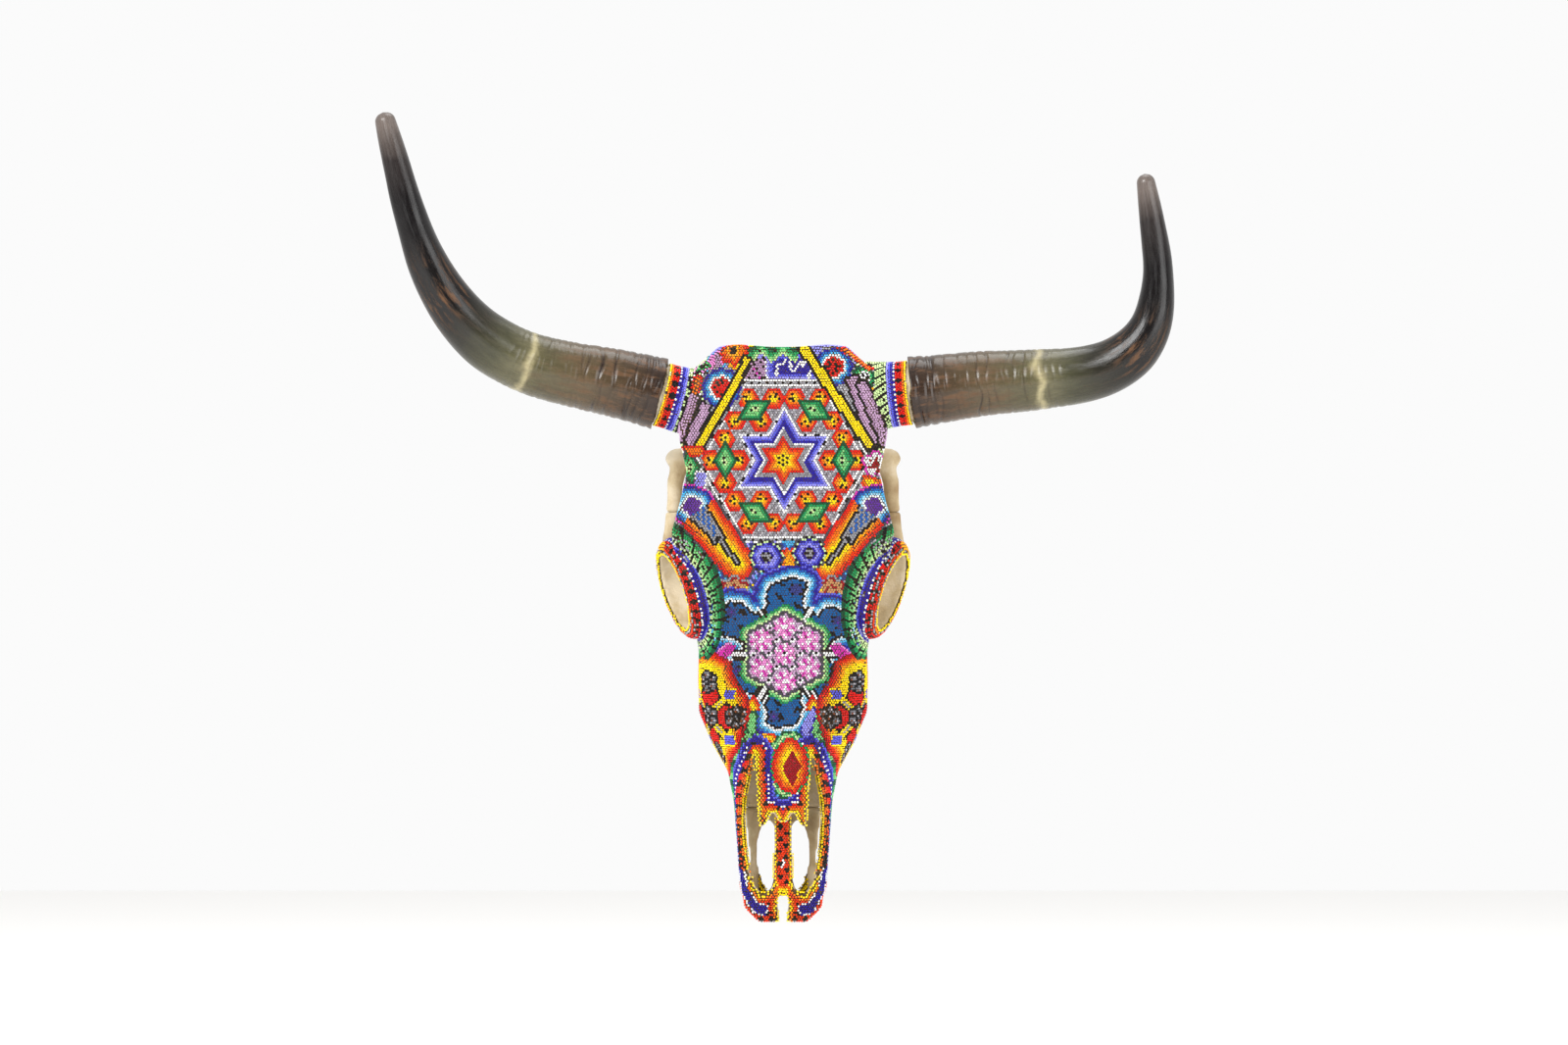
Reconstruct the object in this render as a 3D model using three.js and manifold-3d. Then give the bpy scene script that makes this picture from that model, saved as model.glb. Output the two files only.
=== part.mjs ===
// A cattle skull hung on a wall, its face covered in glass seed beads pressed into a bed of wax.
// Millimetres, +Z up. The wall is the plane y = 0 and the face looks along -Y. The origin is where the
// wall screw sits in the hanger plate, behind the poll. +X is the viewer's right.
//
// The bones are made as one body, then parted along their sutures. The wax and the beads are two thin
// skins over the same body, so everything that lies on everything else shares one shape.
import * as THREE from "three";
import { mergeVertices } from "three/addons/utils/BufferGeometryUtils.js";
import Module from "manifold-3d";

const wasm = await Module();
wasm.setup();

// ---------------------------------------------------------------- driving sizes
const GAP = 0.4; // what parts touching pieces
const WAX = { inner: 0.35, outer: 1.25 }; // how far the wax bed's two faces stand off the bone
const BEADS = { inner: 1.6, outer: 3.0 }; // and the bead layer's
// The steel hanger plate, and the keyhole that hangs on the wall screw.
const PLATE = { half: 35, bottom: -13, top: 23, thick: 2.5, corner: 7 };
const KEYHOLE = { z: 10, r: 4.6, slotTop: 17.5, slotR: 2.4 };
const SCREW = { x: 24, shank: 2.1, head: 4.2, length: 24 };
const FAR = 400; // past every face of the object

const SIDES = [
  { name: "left", sign: -1 },
  { name: "right", sign: 1 },
];

// ---------------------------------------------------------------- solids
const vec = (x, y, z) => new THREE.Vector3(x, y, z);

// A closed geometry as a solid that can be joined and cut.
function solid(geometry, matrix = new THREE.Matrix4()) {
  const bare = new THREE.BufferGeometry();
  const source = geometry.index ? geometry.toNonIndexed() : geometry;
  bare.setAttribute("position", source.getAttribute("position").clone());
  bare.applyMatrix4(matrix);
  const merged = mergeVertices(bare, 1e-4);
  const triVerts = new Uint32Array(merged.index.array);
  if (matrix.determinant() < 0)
    for (let i = 0; i < triVerts.length; i += 3)
      [triVerts[i + 1], triVerts[i + 2]] = [triVerts[i + 2], triVerts[i + 1]];
  const vertProperties = merged.getAttribute("position").array;
  return new wasm.Manifold(new wasm.Mesh({ numProp: 3, vertProperties, triVerts }));
}

const join = (...parts) => parts.reduce((whole, part) => whole.add(part));
const cut = (whole, ...tools) => tools.reduce((left, tool) => left.subtract(tool), whole);
const placed = (x, y, z) => new THREE.Matrix4().makeTranslation(x, y, z);

function block(x0, x1, y0, y1, z0, z1) {
  const box = new THREE.BoxGeometry(x1 - x0, y1 - y0, z1 - z0);
  return solid(box, placed((x0 + x1) / 2, (y0 + y1) / 2, (z0 + z1) / 2));
}

// An egg at a place, its half lengths given along x, y and z, or along a turned frame.
function egg(centre, radii, turn = new THREE.Matrix4(), segments = 12) {
  const ball = new THREE.SphereGeometry(1, segments, segments * 0.6);
  const size = new THREE.Matrix4().makeScale(...radii);
  return solid(ball, placed(...centre).multiply(turn).multiply(size));
}

// A matrix that takes +Z to the given direction.
function facing(direction) {
  const turn = new THREE.Quaternion().setFromUnitVectors(vec(0, 0, 1), direction);
  return new THREE.Matrix4().makeRotationFromQuaternion(turn);
}

// A shape turned about an axis: profile is [radius, distance along the axis] and starts and ends on it.
function turned(profile, origin, direction, segments = 24) {
  const points = profile.map(([r, h]) => new THREE.Vector2(r, h));
  const upright = new THREE.Matrix4().makeRotationX(Math.PI / 2);
  const at = placed(origin.x, origin.y, origin.z).multiply(facing(direction));
  return solid(new THREE.LatheGeometry(points, segments), at.multiply(upright));
}

// A front-view outline, [x, z] points, carried along y.
function through(outline, y0, y1) {
  const shape = new THREE.Shape(outline.map(([x, z]) => new THREE.Vector2(x, z)));
  const prism = new THREE.ExtrudeGeometry(shape, { depth: y1 - y0, bevelEnabled: false });
  return solid(prism, placed(0, y1, 0).multiply(new THREE.Matrix4().makeRotationX(Math.PI / 2)));
}

// A side-view outline, [y, z] points, carried along x.
function across(outline, x0, x1) {
  const shape = new THREE.Shape(outline.map(([y, z]) => new THREE.Vector2(y, z)));
  const prism = new THREE.ExtrudeGeometry(shape, { depth: x1 - x0, bevelEnabled: false });
  const turn = new THREE.Matrix4().set(0, 0, 1, x0, 1, 0, 0, 0, 0, 1, 0, 0, 0, 0, 0, 1);
  return solid(prism, turn);
}

// A body through rings of points: every ring has the same number, and the ends are closed by fans.
function skinned(rings) {
  const count = rings[0].length;
  const positions = [];
  const face = (...points) => points.forEach((p) => positions.push(p.x, p.y, p.z));
  for (let i = 0; i + 1 < rings.length; i++)
    for (let j = 0; j < count; j++) {
      const k = (j + 1) % count;
      const [a, b, c, d] = [rings[i][j], rings[i][k], rings[i + 1][k], rings[i + 1][j]];
      face(a, b, c);
      face(a, c, d);
    }
  const middle = (ring) => ring.reduce((s, p) => s.add(p), vec(0, 0, 0)).divideScalar(count);
  const [first, last] = [rings[0], rings.at(-1)];
  const [start, end] = [middle(first), middle(last)];
  for (let j = 0; j < count; j++) {
    const k = (j + 1) % count;
    face(start, first[k], first[j]);
    face(end, last[j], last[k]);
  }
  const geometry = new THREE.BufferGeometry();
  geometry.setAttribute("position", new THREE.Float32BufferAttribute(positions, 3));
  const made = solid(geometry);
  if (made.volume() > 0) return made;
  return skinned([...rings].reverse());
}

// A round body along a curve, with a radius that changes along it: spine is [x, y, z, radius] points.
function limb(spine, steps, sides = 16) {
  const curve = new THREE.CatmullRomCurve3(spine.map(([x, y, z]) => vec(x, y, z)), false, "centripetal");
  const frames = curve.computeFrenetFrames(steps, false);
  const rings = [];
  for (let i = 0; i <= steps; i++) {
    const t = i / steps;
    const centre = curve.getPointAt(t);
    const place = curve.getUtoTmapping(t) * (spine.length - 1);
    const before = Math.min(Math.floor(place), spine.length - 2);
    const radius = THREE.MathUtils.lerp(spine[before][3], spine[before + 1][3], place - before);
    const ring = [];
    for (let j = 0; j < sides; j++) {
      const a = (2 * Math.PI * j) / sides;
      const out = frames.normals[i].clone().multiplyScalar(Math.cos(a) * radius);
      ring.push(out.addScaledVector(frames.binormals[i], Math.sin(a) * radius).add(centre));
    }
    rings.push(ring);
  }
  return skinned(rings);
}

const mirrored = (made) => made.mirror([1, 0, 0]);
const bothSides = (made) => [made, mirrored(made)];

// ---------------------------------------------------------------- the head's outer form
// Half sections across the head, from the middle of the face round the side to the middle of the back.
// Each row is a height z and nine [x, y] points. The right half mirrors the left.
const SECTIONS = [
  [34.5, [0, -150], [28, -149], [44, -146], [52, -139], [53, -131], [47, -123], [36, -117], [20, -114], [0, -113]],
  [24, [0, -158], [34, -157], [58, -154], [72, -145], [76, -131], [68, -114], [52, -100], [28, -90], [0, -86]],
  [2, [0, -162], [36, -161], [64, -159], [82, -149], [86, -132], [76, -110], [58, -84], [34, -62], [0, -54]],
  [-34, [0, -163], [34, -162], [62, -160], [84, -152], [86, -138], [68, -112], [56, -80], [36, -50], [0, -40]],
  [-62, [0, -163], [34, -162], [60, -160], [77, -153], [78, -140], [60, -116], [53, -80], [34, -48], [0, -38]],
  [-98, [0, -162], [34, -161], [62, -159], [84, -150], [85, -136], [58, -112], [50, -80], [32, -54], [0, -46]],
  [-130, [0, -161], [32, -160], [60, -157], [90, -146], [92, -130], [64, -106], [50, -80], [34, -56], [0, -54]],
  [-166, [0, -159], [26, -158], [46, -154], [66, -142], [78, -122], [78, -96], [64, -64], [40, -44], [0, -56]],
  [-206, [0, -157], [24, -156], [42, -150], [58, -134], [69, -108], [69, -78], [62, -38], [37, -25], [0, -52]],
  [-246, [0, -155], [24, -154], [40, -147], [54, -130], [68, -104], [69, -78], [60, -36], [33, -24], [0, -50]],
  [-280, [0, -154], [24, -153], [38, -145], [52, -124], [66, -100], [66, -78], [54, -39], [29, -27], [0, -50]],
  [-303, [0, -152], [22, -151], [31, -143], [40, -122], [50, -100], [52, -80], [46, -50], [26, -38], [0, -50]],
  [-328, [0, -150], [20, -149], [28, -140], [34, -122], [40, -104], [41, -84], [38, -62], [22, -52], [0, -52]],
  [-352, [0, -148], [20, -147], [26, -138], [32, -120], [37, -104], [39, -88], [36, -68], [22, -56], [0, -54]],
  [-370, [0, -146], [19, -145], [24, -136], [30, -112], [36, -100], [37.5, -86], [34, -68], [20, -58], [0, -56]],
  [-388, [0, -100], [14, -103], [24, -104], [31, -101], [35.5, -93], [36, -82], [32, -68], [18, -59], [0, -57]],
  [-416, [0, -90], [12, -92], [22, -92], [30, -88], [34.5, -81], [34, -73], [29, -64], [16, -59], [0, -58]],
  [-434, [0, -80], [10, -82], [18, -82], [25, -79], [30.5, -74], [30, -68], [26, -62], [14, -59], [0, -58]],
  [-445, [0, -72], [6, -73], [11, -73], [16, -72], [20, -69], [20, -66], [17, -62], [10, -60], [0, -60]],
];
const LEVELS = 19; // rings from poll to muzzle

// The nine points of the section at a height, between the rows by a smooth curve.
function sectionAt(z) {
  const rows = SECTIONS;
  let i = 0;
  while (i < rows.length - 2 && z < rows[i + 1][0]) i++;
  const [z0, z1] = [rows[i][0], rows[i + 1][0]];
  const t = (z - z0) / (z1 - z0);
  const row = (n) => rows[Math.min(Math.max(n, 0), rows.length - 1)];
  const [before, after] = [row(i - 1), row(i + 2)];
  const h = z1 - z0;
  const slope = (a, b, p, k) => (a[0] === b[0] ? 0 : ((b[p][k] - a[p][k]) / (b[0] - a[0])) * h);
  const points = [];
  for (let p = 1; p < rows[0].length; p++) {
    const made = [0, 1].map((k) => {
      const [m0, m1] = [slope(before, row(i + 1), p, k), slope(row(i), after, p, k)];
      const [t2, t3] = [t * t, t * t * t];
      const [v0, v1] = [row(i)[p][k], row(i + 1)[p][k]];
      return (2 * t3 - 3 * t2 + 1) * v0 + (t3 - 2 * t2 + t) * m0 + (3 * t2 - 2 * t3) * v1 + (t3 - t2) * m1;
    });
    points.push(made);
  }
  return points;
}

// The closed ring round the head at a height, grown outwards.
function ringAt(z, grow) {
  const half = sectionAt(z);
  const other = half.slice(1, -1).reverse().map(([x, y]) => [-x, y]);
  const loop = [...half, ...other].map(([x, y]) => vec(x, y, 0));
  const curve = new THREE.CatmullRomCurve3(loop, true, "centripetal");
  const samples = loop.length * 1.25;
  const ring = [];
  for (let i = 0; i < samples; i++) {
    const t = i / samples;
    const along = curve.getTangent(t);
    const out = vec(along.y, -along.x, 0).multiplyScalar(grow);
    ring.push(curve.getPoint(t).add(out).setZ(z));
  }
  return ring;
}

const [TOP, BOTTOM] = [SECTIONS[0][0], SECTIONS.at(-1)[0]];

function headForm(grow) {
  const rings = [];
  for (let i = 0; i <= LEVELS; i++) {
    const z = TOP + ((BOTTOM - TOP) * i) / LEVELS;
    const lift = i === 0 ? grow : i === LEVELS ? -grow : 0;
    rings.push(ringAt(z, grow).map((p) => p.setZ(z + lift)));
  }
  return skinned(rings);
}

// ---------------------------------------------------------------- horns
// Each horn's middle line from the skull to the tip, as [x, y, z, radius].
const HORNS = {
  left: [
    [-107, -130, 0, 30.5],
    [-155, -132, 11.5, 28.2],
    [-204, -138, 20, 26],
    [-247, -147, 39, 24.6],
    [-275.5, -156, 69, 21],
    [-294.4, -163, 98.4, 18],
    [-312, -170, 148, 13],
    [-328, -175, 208, 8.6],
    [-333.4, -176, 227, 5.5],
    [-334.8, -176, 232.5, 1.6],
  ],
  right: [
    [107, -130, 0, 30.5],
    [155, -132, 6.5, 27.8],
    [200, -137, 10, 26],
    [238, -143, 12.5, 24.3],
    [274, -150, 19, 22.6],
    [297, -156, 34, 20.6],
    [311.5, -162, 60, 16.6],
    [315, -168, 100, 12.8],
    [307.5, -174, 147.6, 10.2],
    [303, -176, 173, 6.6],
    [301.8, -176, 181.5, 1.6],
  ],
};
const BASE = { left: 103, right: 107 }; // how far out the beaded stump ends and the bare core begins
const CORE = { base: 24.5, tip: 6, length: 138, play: 0.9 };
const RIM = 3; // bare core that shows between the beads and the horn

// The straight line that a horn's core lies on: where it leaves the skull, and its direction.
function coreLine(side) {
  const spine = HORNS[side.name];
  const [start, far] = [vec(...spine[0]), vec(...spine[3])];
  const direction = far.sub(start).normalize();
  const inward = (Math.abs(start.x) - BASE[side.name]) / Math.abs(direction.x);
  const origin = start.clone().addScaledVector(direction, -inward);
  return { origin, direction };
}

// The stump that the frontal bone sends out to the horn, thinnest just inside its end.
function stump(side, grow) {
  const { origin, direction } = coreLine(side);
  const profile = [
    [0, -64],
    [26 + grow, -64],
    [27.5 + grow, -32],
    [25.2 + grow, -12],
    [25 + grow, -3],
    [25.6 + grow, 0],
    [0, 0],
  ];
  return turned(profile, origin, direction, 14);
}

function core(side, extra = 0) {
  const { origin, direction } = coreLine(side);
  const { base, tip, length } = CORE;
  const profile = [
    [0, -8],
    [base + extra, -8],
    [base + extra, RIM],
    [(base + tip) / 2 + 1.5 + extra, length * 0.55],
    [tip + extra, length + extra],
    [0, length + tip * 0.7 + extra * 2],
  ];
  return turned(profile, origin, direction, 14);
}

function hornSheath(side) {
  const { origin, direction } = coreLine(side);
  const shell = limb(HORNS[side.name], 20, 12);
  const behind = turned([[0, -90], [60, -90], [60, RIM], [0, RIM]], origin, direction, 8);
  return cut(shell, behind, core(side, CORE.play));
}

// ---------------------------------------------------------------- eye sockets and cheek arches
const EYE = { centre: vec(-90, -110, -167), axis: vec(-0.915, -0.265, -0.305).normalize(), hole: 33, rim: 43 };

// The raised ring round the eye, with a plug behind it that reaches into the head.
function eyeRing(grow) {
  const { centre, axis, rim } = EYE;
  const profile = [
    [0, -34],
    [rim - 4 + grow, -34],
    [rim + grow, -8],
    [rim - 3 + grow * 0.7, -1 + grow * 0.7],
    [rim - 8, 1 + grow],
    [0, 1 + grow],
  ];
  return turned(profile, centre, axis, 18);
}

function eyeHollow() {
  const { centre, axis, hole } = EYE;
  const profile = [
    [0, -54],
    [14, -49],
    [27, -28],
    [hole, -6],
    [hole, 14],
    [0, 14],
  ];
  return turned(profile, centre, axis, 18);
}

// The arch from the back of the eye ring to the temple, with the knob where the jaw hung.
function cheekArch(grow = 0) {
  const spine = [
    [-98, -76, -142, 7.5],
    [-95, -74, -118, 6],
    [-92, -72, -90, 6],
    [-89, -70, -64, 7.5],
    [-70, -68, -46, 11],
    [-44, -70, -36, 13],
  ].map(([x, y, z, r]) => [x, y, z, r + grow]);
  return join(limb(spine, 10, 10), egg([-88, -68, -55], [12 + grow, 11 + grow, 9 + grow], undefined, 10));
}

// ---------------------------------------------------------------- hollows
// The air way inside the nose: a height, then half width, front and back.
const AIRWAY = [
  [-147, 25, -147, -92],
  [-175, 29, -148, -78],
  [-215, 36, -147, -68],
  [-255, 38, -146, -66],
  [-290, 33, -144.5, -66],
  [-330, 27, -142, -68],
  [-362, 28, -126, -72],
];

function airway(inset = 0) {
  const rings = AIRWAY.map(([z, wide, fore, rear]) => {
    const [half, front, back] = [wide - inset, fore + inset, rear - inset];
    const ring = [];
    const sides = 16;
    for (let j = 0; j < sides; j++) {
      const a = (2 * Math.PI * (j + 0.5)) / sides;
      const square = (v) => Math.sign(v) * Math.abs(v) ** 0.6;
      const x = half * square(Math.cos(a));
      const y = (front + back) / 2 + ((back - front) / 2) * square(Math.sin(a));
      ring.push(vec(x, y, z));
    }
    return ring;
  });
  return skinned(rings);
}

// The open nose seen from the front: right half, from the top corner down the outside and back up.
const NOSE_OUTER = [
  [24, -301],
  [29.5, -323],
  [33, -341],
  [34.2, -358],
  [33, -380],
  [29.6, -401],
  [24.5, -416],
  [17.5, -424],
  [11.5, -420.5],
  [8, -411],
];
const BAR = { half: 6.8, top: -350, front: -86, back: -62 }; // the bony bar between the slots
const FLOOR = -66; // the floor of the nose
const NOSE_TIP = { inner: 22.5, corner: 17.5, tip: -369, notch: -352, middle: -360, back: -141.5 };

// The two nose bones as seen from the front, ending in a fork.
function noseBones(y0, y1) {
  const { inner, corner, tip, notch, middle } = NOSE_TIP;
  const right = [
    [inner + 2, -296],
    [inner, -306],
    [inner - 1.5, -334],
    [corner + 1.5, -360],
    [corner, tip],
    [corner - 2.5, tip + 5],
    [10.5, notch],
    [6.5, notch - 1],
    [3, middle],
  ];
  const left = right.map(([x, z]) => [-x, z]).reverse();
  return through([...right, ...left], y0, y1);
}

function noseOpening() {
  const right = [...NOSE_OUTER, [BAR.half, -395], [BAR.half, -345], [BAR.half, -296]];
  const half = through([...right, [24, -296]], -FAR, FLOOR);
  const middle = block(-BAR.half - 1, BAR.half + 1, -FAR, FLOOR, -424, -340);
  const whole = join(half, mirrored(half), middle);
  return cut(whole, noseBones(-FAR, NOSE_TIP.back));
}

// The slots through the roof of the mouth, and the notch between the two muzzle lobes.
function mouthSlots() {
  const slot = through(
    [[BAR.half, -366], [12, -360], [18, -364], [22, -378], [22.5, -396], [19, -414], [14, -423], [9.5, -419],
      [BAR.half, -408]],
    -FAR, 0);
  const notch = through([[-2, -412], [-4.5, -420], [-5.2, -432], [-3.6, -442], [-3.2, -460], [3.2, -460],
    [3.6, -442], [5.2, -432], [4.5, -420], [2, -412]], -FAR, 0);
  return join(slot, mirrored(slot), notch);
}

function skullHollows() {
  const brain = egg([0, -84, -42], [41, 30, 56]);
  const canal = [[0, -40], [17, -40], [19, 60], [0, 60]];
  const spine = turned(canal, vec(0, -58, -16), vec(0, 0.86, 0.51).normalize());
  const rearNose = egg([0, -50, -147], [17, 54, 21]);
  return join(brain, spine, rearNose);
}

// ---------------------------------------------------------------- cheek teeth
// From the front tooth to the last: length along the jaw, width, and distance from the middle.
const TEETH = [
  { name: "premolar_2", length: 15, width: 15, x: 38 },
  { name: "premolar_3", length: 17, width: 17, x: 41 },
  { name: "premolar_4", length: 18, width: 19, x: 44 },
  { name: "molar_1", length: 22, width: 21, x: 47 },
  { name: "molar_2", length: 24, width: 22, x: 48 },
  { name: "molar_3", length: 26, width: 21, x: 48 },
];
const TOOTH = { first: -297, space: 1, root: -56, crown: -1.5, collar: -22 };

// A tooth's plan: two rounded lobes with a groove between them on both faces.
function toothPlan(length, width) {
  const [a, b] = [length / 2, width / 2];
  const lobe = [[-a, -b * 0.5], [-a * 0.55, -b], [0, -b * 0.8], [a * 0.55, -b], [a, -b * 0.5]];
  return [...lobe, ...lobe.map(([z, x]) => [z, -x]).reverse()];
}

function tooth({ length, width }, x, z, grow) {
  const plan = (swell) => toothPlan(length + swell * 2, width + swell * 2);
  const ring = (y, swell) => plan(swell).map(([dz, dx]) => vec(x + dx, y, z + dz));
  const crown = TOOTH.crown + grow;
  return skinned([
    ring(TOOTH.root - grow, -3 + grow),
    ring(TOOTH.collar, grow),
    ring(crown - 2.5, grow),
    ring(crown, -1.2 + grow),
  ]);
}

function toothRow(side, grow) {
  let z = TOOTH.first;
  return TEETH.map((spec) => {
    const middle = z + spec.length / 2;
    z += spec.length + TOOTH.space;
    return { name: `${spec.name}_${side.name}`, made: tooth(spec, side.sign * spec.x, middle, grow) };
  });
}

// ---------------------------------------------------------------- the whole head, and its skins
function form(grow) {
  const ring = eyeRing(grow);
  return join(headForm(grow), ring, mirrored(ring), ...SIDES.map((side) => stump(side, grow)));
}

const hollowEyes = eyeHollow();
const OPENINGS = join(hollowEyes, mirrored(hollowEyes), noseOpening(), mouthSlots());

function screwHole(side, grow) {
  const { x, shank, head, length } = SCREW;
  const profile = [
    [0, 0],
    [head + grow, 0],
    [head + grow, -0.4],
    [shank + grow, -2.4],
    [shank + grow, -length + 4],
    [0, -length],
  ];
  return turned(profile.reverse(), vec(side.sign * x, 0, 0), vec(0, 1, 0), 12);
}

function wholeSkull() {
  const arch = cheekArch();
  const knob = egg([-24, -30, 0], [15, 33, 19], undefined, 10);
  const prong = limb([[-58, -62, -20, 11], [-59, -38, -30, 9], [-60, -14, -38, 5]], 5, 8);
  const extras = [arch, knob, prong].flatMap((made) => [made, mirrored(made)]);
  const bar = block(-BAR.half, BAR.half, BAR.front, BAR.back, -424, BAR.top);
  let skull = join(form(0), ...extras, ...SIDES.map((side) => core(side)));
  skull = cut(skull, airway(), skullHollows(), cut(OPENINGS, bar));
  skull = join(skull, cut(bar, mouthSlots()));
  const sockets = SIDES.flatMap((side) => toothRow(side, GAP).map((t) => t.made));
  const holes = SIDES.map((side) => screwHole(side, GAP));
  const wall = block(-FAR, FAR, -PLATE.thick - GAP, FAR, -FAR, FAR);
  return cut(skull, ...sockets, ...holes, wall);
}

// ---------------------------------------------------------------- parting
// A thin wall that stands along y over a line of [x, z] points: cutting with it parts a body there.
function seamY(line, y0, y1) {
  const walls = line.slice(1).map(([x1, z1], i) => {
    const [x0, z0] = line[i];
    const length = Math.hypot(x1 - x0, z1 - z0) + GAP;
    const box = new THREE.BoxGeometry(length, y1 - y0, GAP);
    const turn = new THREE.Matrix4().makeRotationY(-Math.atan2(z1 - z0, x1 - x0));
    return solid(box, placed((x0 + x1) / 2, (y0 + y1) / 2, (z0 + z1) / 2).multiply(turn));
  });
  return join(...walls);
}

// The same along x, over [y, z] points.
function seamX(line, x0, x1) {
  const walls = line.slice(1).map(([y1, z1], i) => {
    const [y0, z0] = line[i];
    const length = Math.hypot(y1 - y0, z1 - z0) + GAP;
    const box = new THREE.BoxGeometry(x1 - x0, length, GAP);
    const turn = new THREE.Matrix4().makeRotationX(Math.atan2(z1 - z0, y1 - y0));
    return solid(box, placed((x0 + x1) / 2, (y0 + y1) / 2, (z0 + z1) / 2).multiply(turn));
  });
  return join(...walls);
}

const BACK = -100; // the plane between the forehead block and the brain case
const sutures = [
  block(-105, 105, BACK - GAP / 2, BACK + GAP / 2, -214, 60), // forehead from brain case
  seamY([[-135, -152], [-72, -160], [-42, -150], [-24, -150], [-8, -156], [0, -158], [8, -156], [24, -150],
    [42, -150], [72, -160], [135, -152]], -FAR, BACK), // forehead from the face
  block(-75, 75, BACK, 0, -152 - GAP, -152), // brain case from the face
  block(-GAP / 2, GAP / 2, -FAR, BACK, -160, 60), // left from right forehead
  block(-GAP / 2, GAP / 2, -FAR, -125, -380, -150), // left from right nose bone
  block(-GAP / 2, GAP / 2, -122, 0, -FAR - 60, -152), // left from right palate
  ...bothSides(seamY([[-24, -148], [-25, -200], [-24.5, -250], [-23.6, -303]], -FAR, -118)), // nose bone from cheek
  ...bothSides(seamY([[-24, -204], [-46, -200], [-80, -214]], -FAR, BACK + 2)), // tear bone from cheek
  ...bothSides(block(-68 - GAP, -68, BACK, 0, -214, -130)), // cheek bone from the rest
  ...bothSides(block(-130, -68, BACK - 2, 0, -214 - GAP, -214)),
  ...bothSides(block(-130, -70, -100, -40, -100 - GAP, -100)), // cheek bone from temple, in the arch
  block(-33, 33, -98, 0, -216 - GAP, -216), // rear palate
  ...bothSides(block(-33 - GAP, -33, -98, 0, -216 - GAP, -152)),
  block(-33 - GAP, 33 + GAP, -98 - GAP, -98, -216 - GAP, -152),
  ...bothSides(seamX([[-180, -306], [-126, -328]], -60, -23)), // muzzle from cheek
  seamX([[-126, -328], [-98, -348], [-40, -352]], -60, 60),
  block(-45 - GAP, 45 + GAP, BACK, 0, -50 - GAP, -50), // rear of the head from its base
  block(-45, 45, -74 - GAP, -74, -50, 60), // upper from lower rear plate
  ...bothSides(block(-45 - GAP, -45, BACK, 0, -152, 60)), // side of the brain case
];

// The part of a parted body that holds a small cube at the seed.
function pieceAt(pieces, [x, y, z]) {
  const probe = block(x - 1, x + 1, y - 1, y + 1, z - 1, z + 1);
  const share = pieces.map((piece) => piece.intersect(probe).volume());
  const best = share.indexOf(Math.max(...share));
  if (share[best] < 1) throw new Error(`no bone at ${[x, y, z]}`);
  return pieces[best];
}

const BONES = {
  frontal: [-50, -150, -60],
  temporal: [-52, -90, -70],
  lacrimal: [-50, -142, -185],
  zygomatic: [-98, -78, -140],
  nasal: [-10, -152, -250],
  maxilla: [-60, -90, -260],
  palatine: [-26, -58, -190],
  premaxilla: [-28, -74, -416],
};
const SINGLE_BONES = {
  interparietal: [0, -92, 12],
  occipital: [-24, -20, 4],
  sphenoid: [0, -70, -110],
};

// ---------------------------------------------------------------- wax and beads
// Where the face is beaded, as a side view: everything in front of this line.
const BEAD_EDGE = [
  [-FAR, 60],
  [-122, 60],
  [-122, -24],
  [-140, -40],
  [-140, -118],
  [-126, -135],
  [-100, -150],
  [-84, -200],
  [-66, -222],
  [-62, -290],
  [-76, -330],
  [-76, -400],
  [-66, -430],
  [-66, -470],
  [-FAR, -470],
];

function beadedZone() {
  const { centre, axis } = EYE;
  const eye = turned([[0, -11], [60, -11], [60, 20], [0, 20]], centre, axis, 24);
  return join(across(BEAD_EDGE, -140, 140), eye, mirrored(eye));
}

function skin({ inner, outer }) {
  const stops = SIDES.map((side) => {
    const { origin, direction } = coreLine(side);
    return turned([[0, -1.5], [60, -1.5], [60, 60], [0, 60]], origin, direction, 8);
  });
  const mouthEnd = block(-60, 60, -FAR, 0, -FAR - 100, BOTTOM - outer);
  const arches = bothSides(cheekArch(GAP));
  const shell = cut(form(outer), form(inner), OPENINGS, ...arches, ...stops, mouthEnd);
  return shell.intersect(beadedZone());
}

// The same for the bar between the nose slots.
function barSkin({ inner, outer }) {
  const half = BAR.half - GAP;
  return block(-half, half, BAR.front - outer, BAR.front - inner, -404, BAR.top - 2 * GAP);
}

const panelSeams = [
  block(-GAP / 2, GAP / 2, -FAR, 0, -127, 8), // forehead, left from right
  seamY([[-75, 60], [-75, 8], [75, 8], [75, 60]], -FAR, 0), // poll
  ...bothSides(seamY([[-75, 8], [-75, -60]], -FAR, 0)), // horn stumps
  ...bothSides(seamY([[-75, -60], [-120, -60]], -FAR, 0)),
  ...bothSides(seamY([[-120, -104], [-70, -104], [-38, -127], [-40, -208], [-48, -217], [-80, -212]], -FAR, 0)),
  block(-38, 38, -FAR, 0, -127 - GAP, -127), // forehead from nose
  ...bothSides(seamY([[-48, -217], [-30, -262], [-30, -284]], -FAR, 0)), // cheek from nose
  block(-30, 30, -FAR, -120, -284 - GAP, -284),
  ...bothSides(seamY([[-120, -330], [-36, -330], [-34.5, -322], [-22.4, -292], [-22.4, -284]], -FAR, 0)),
];

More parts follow.
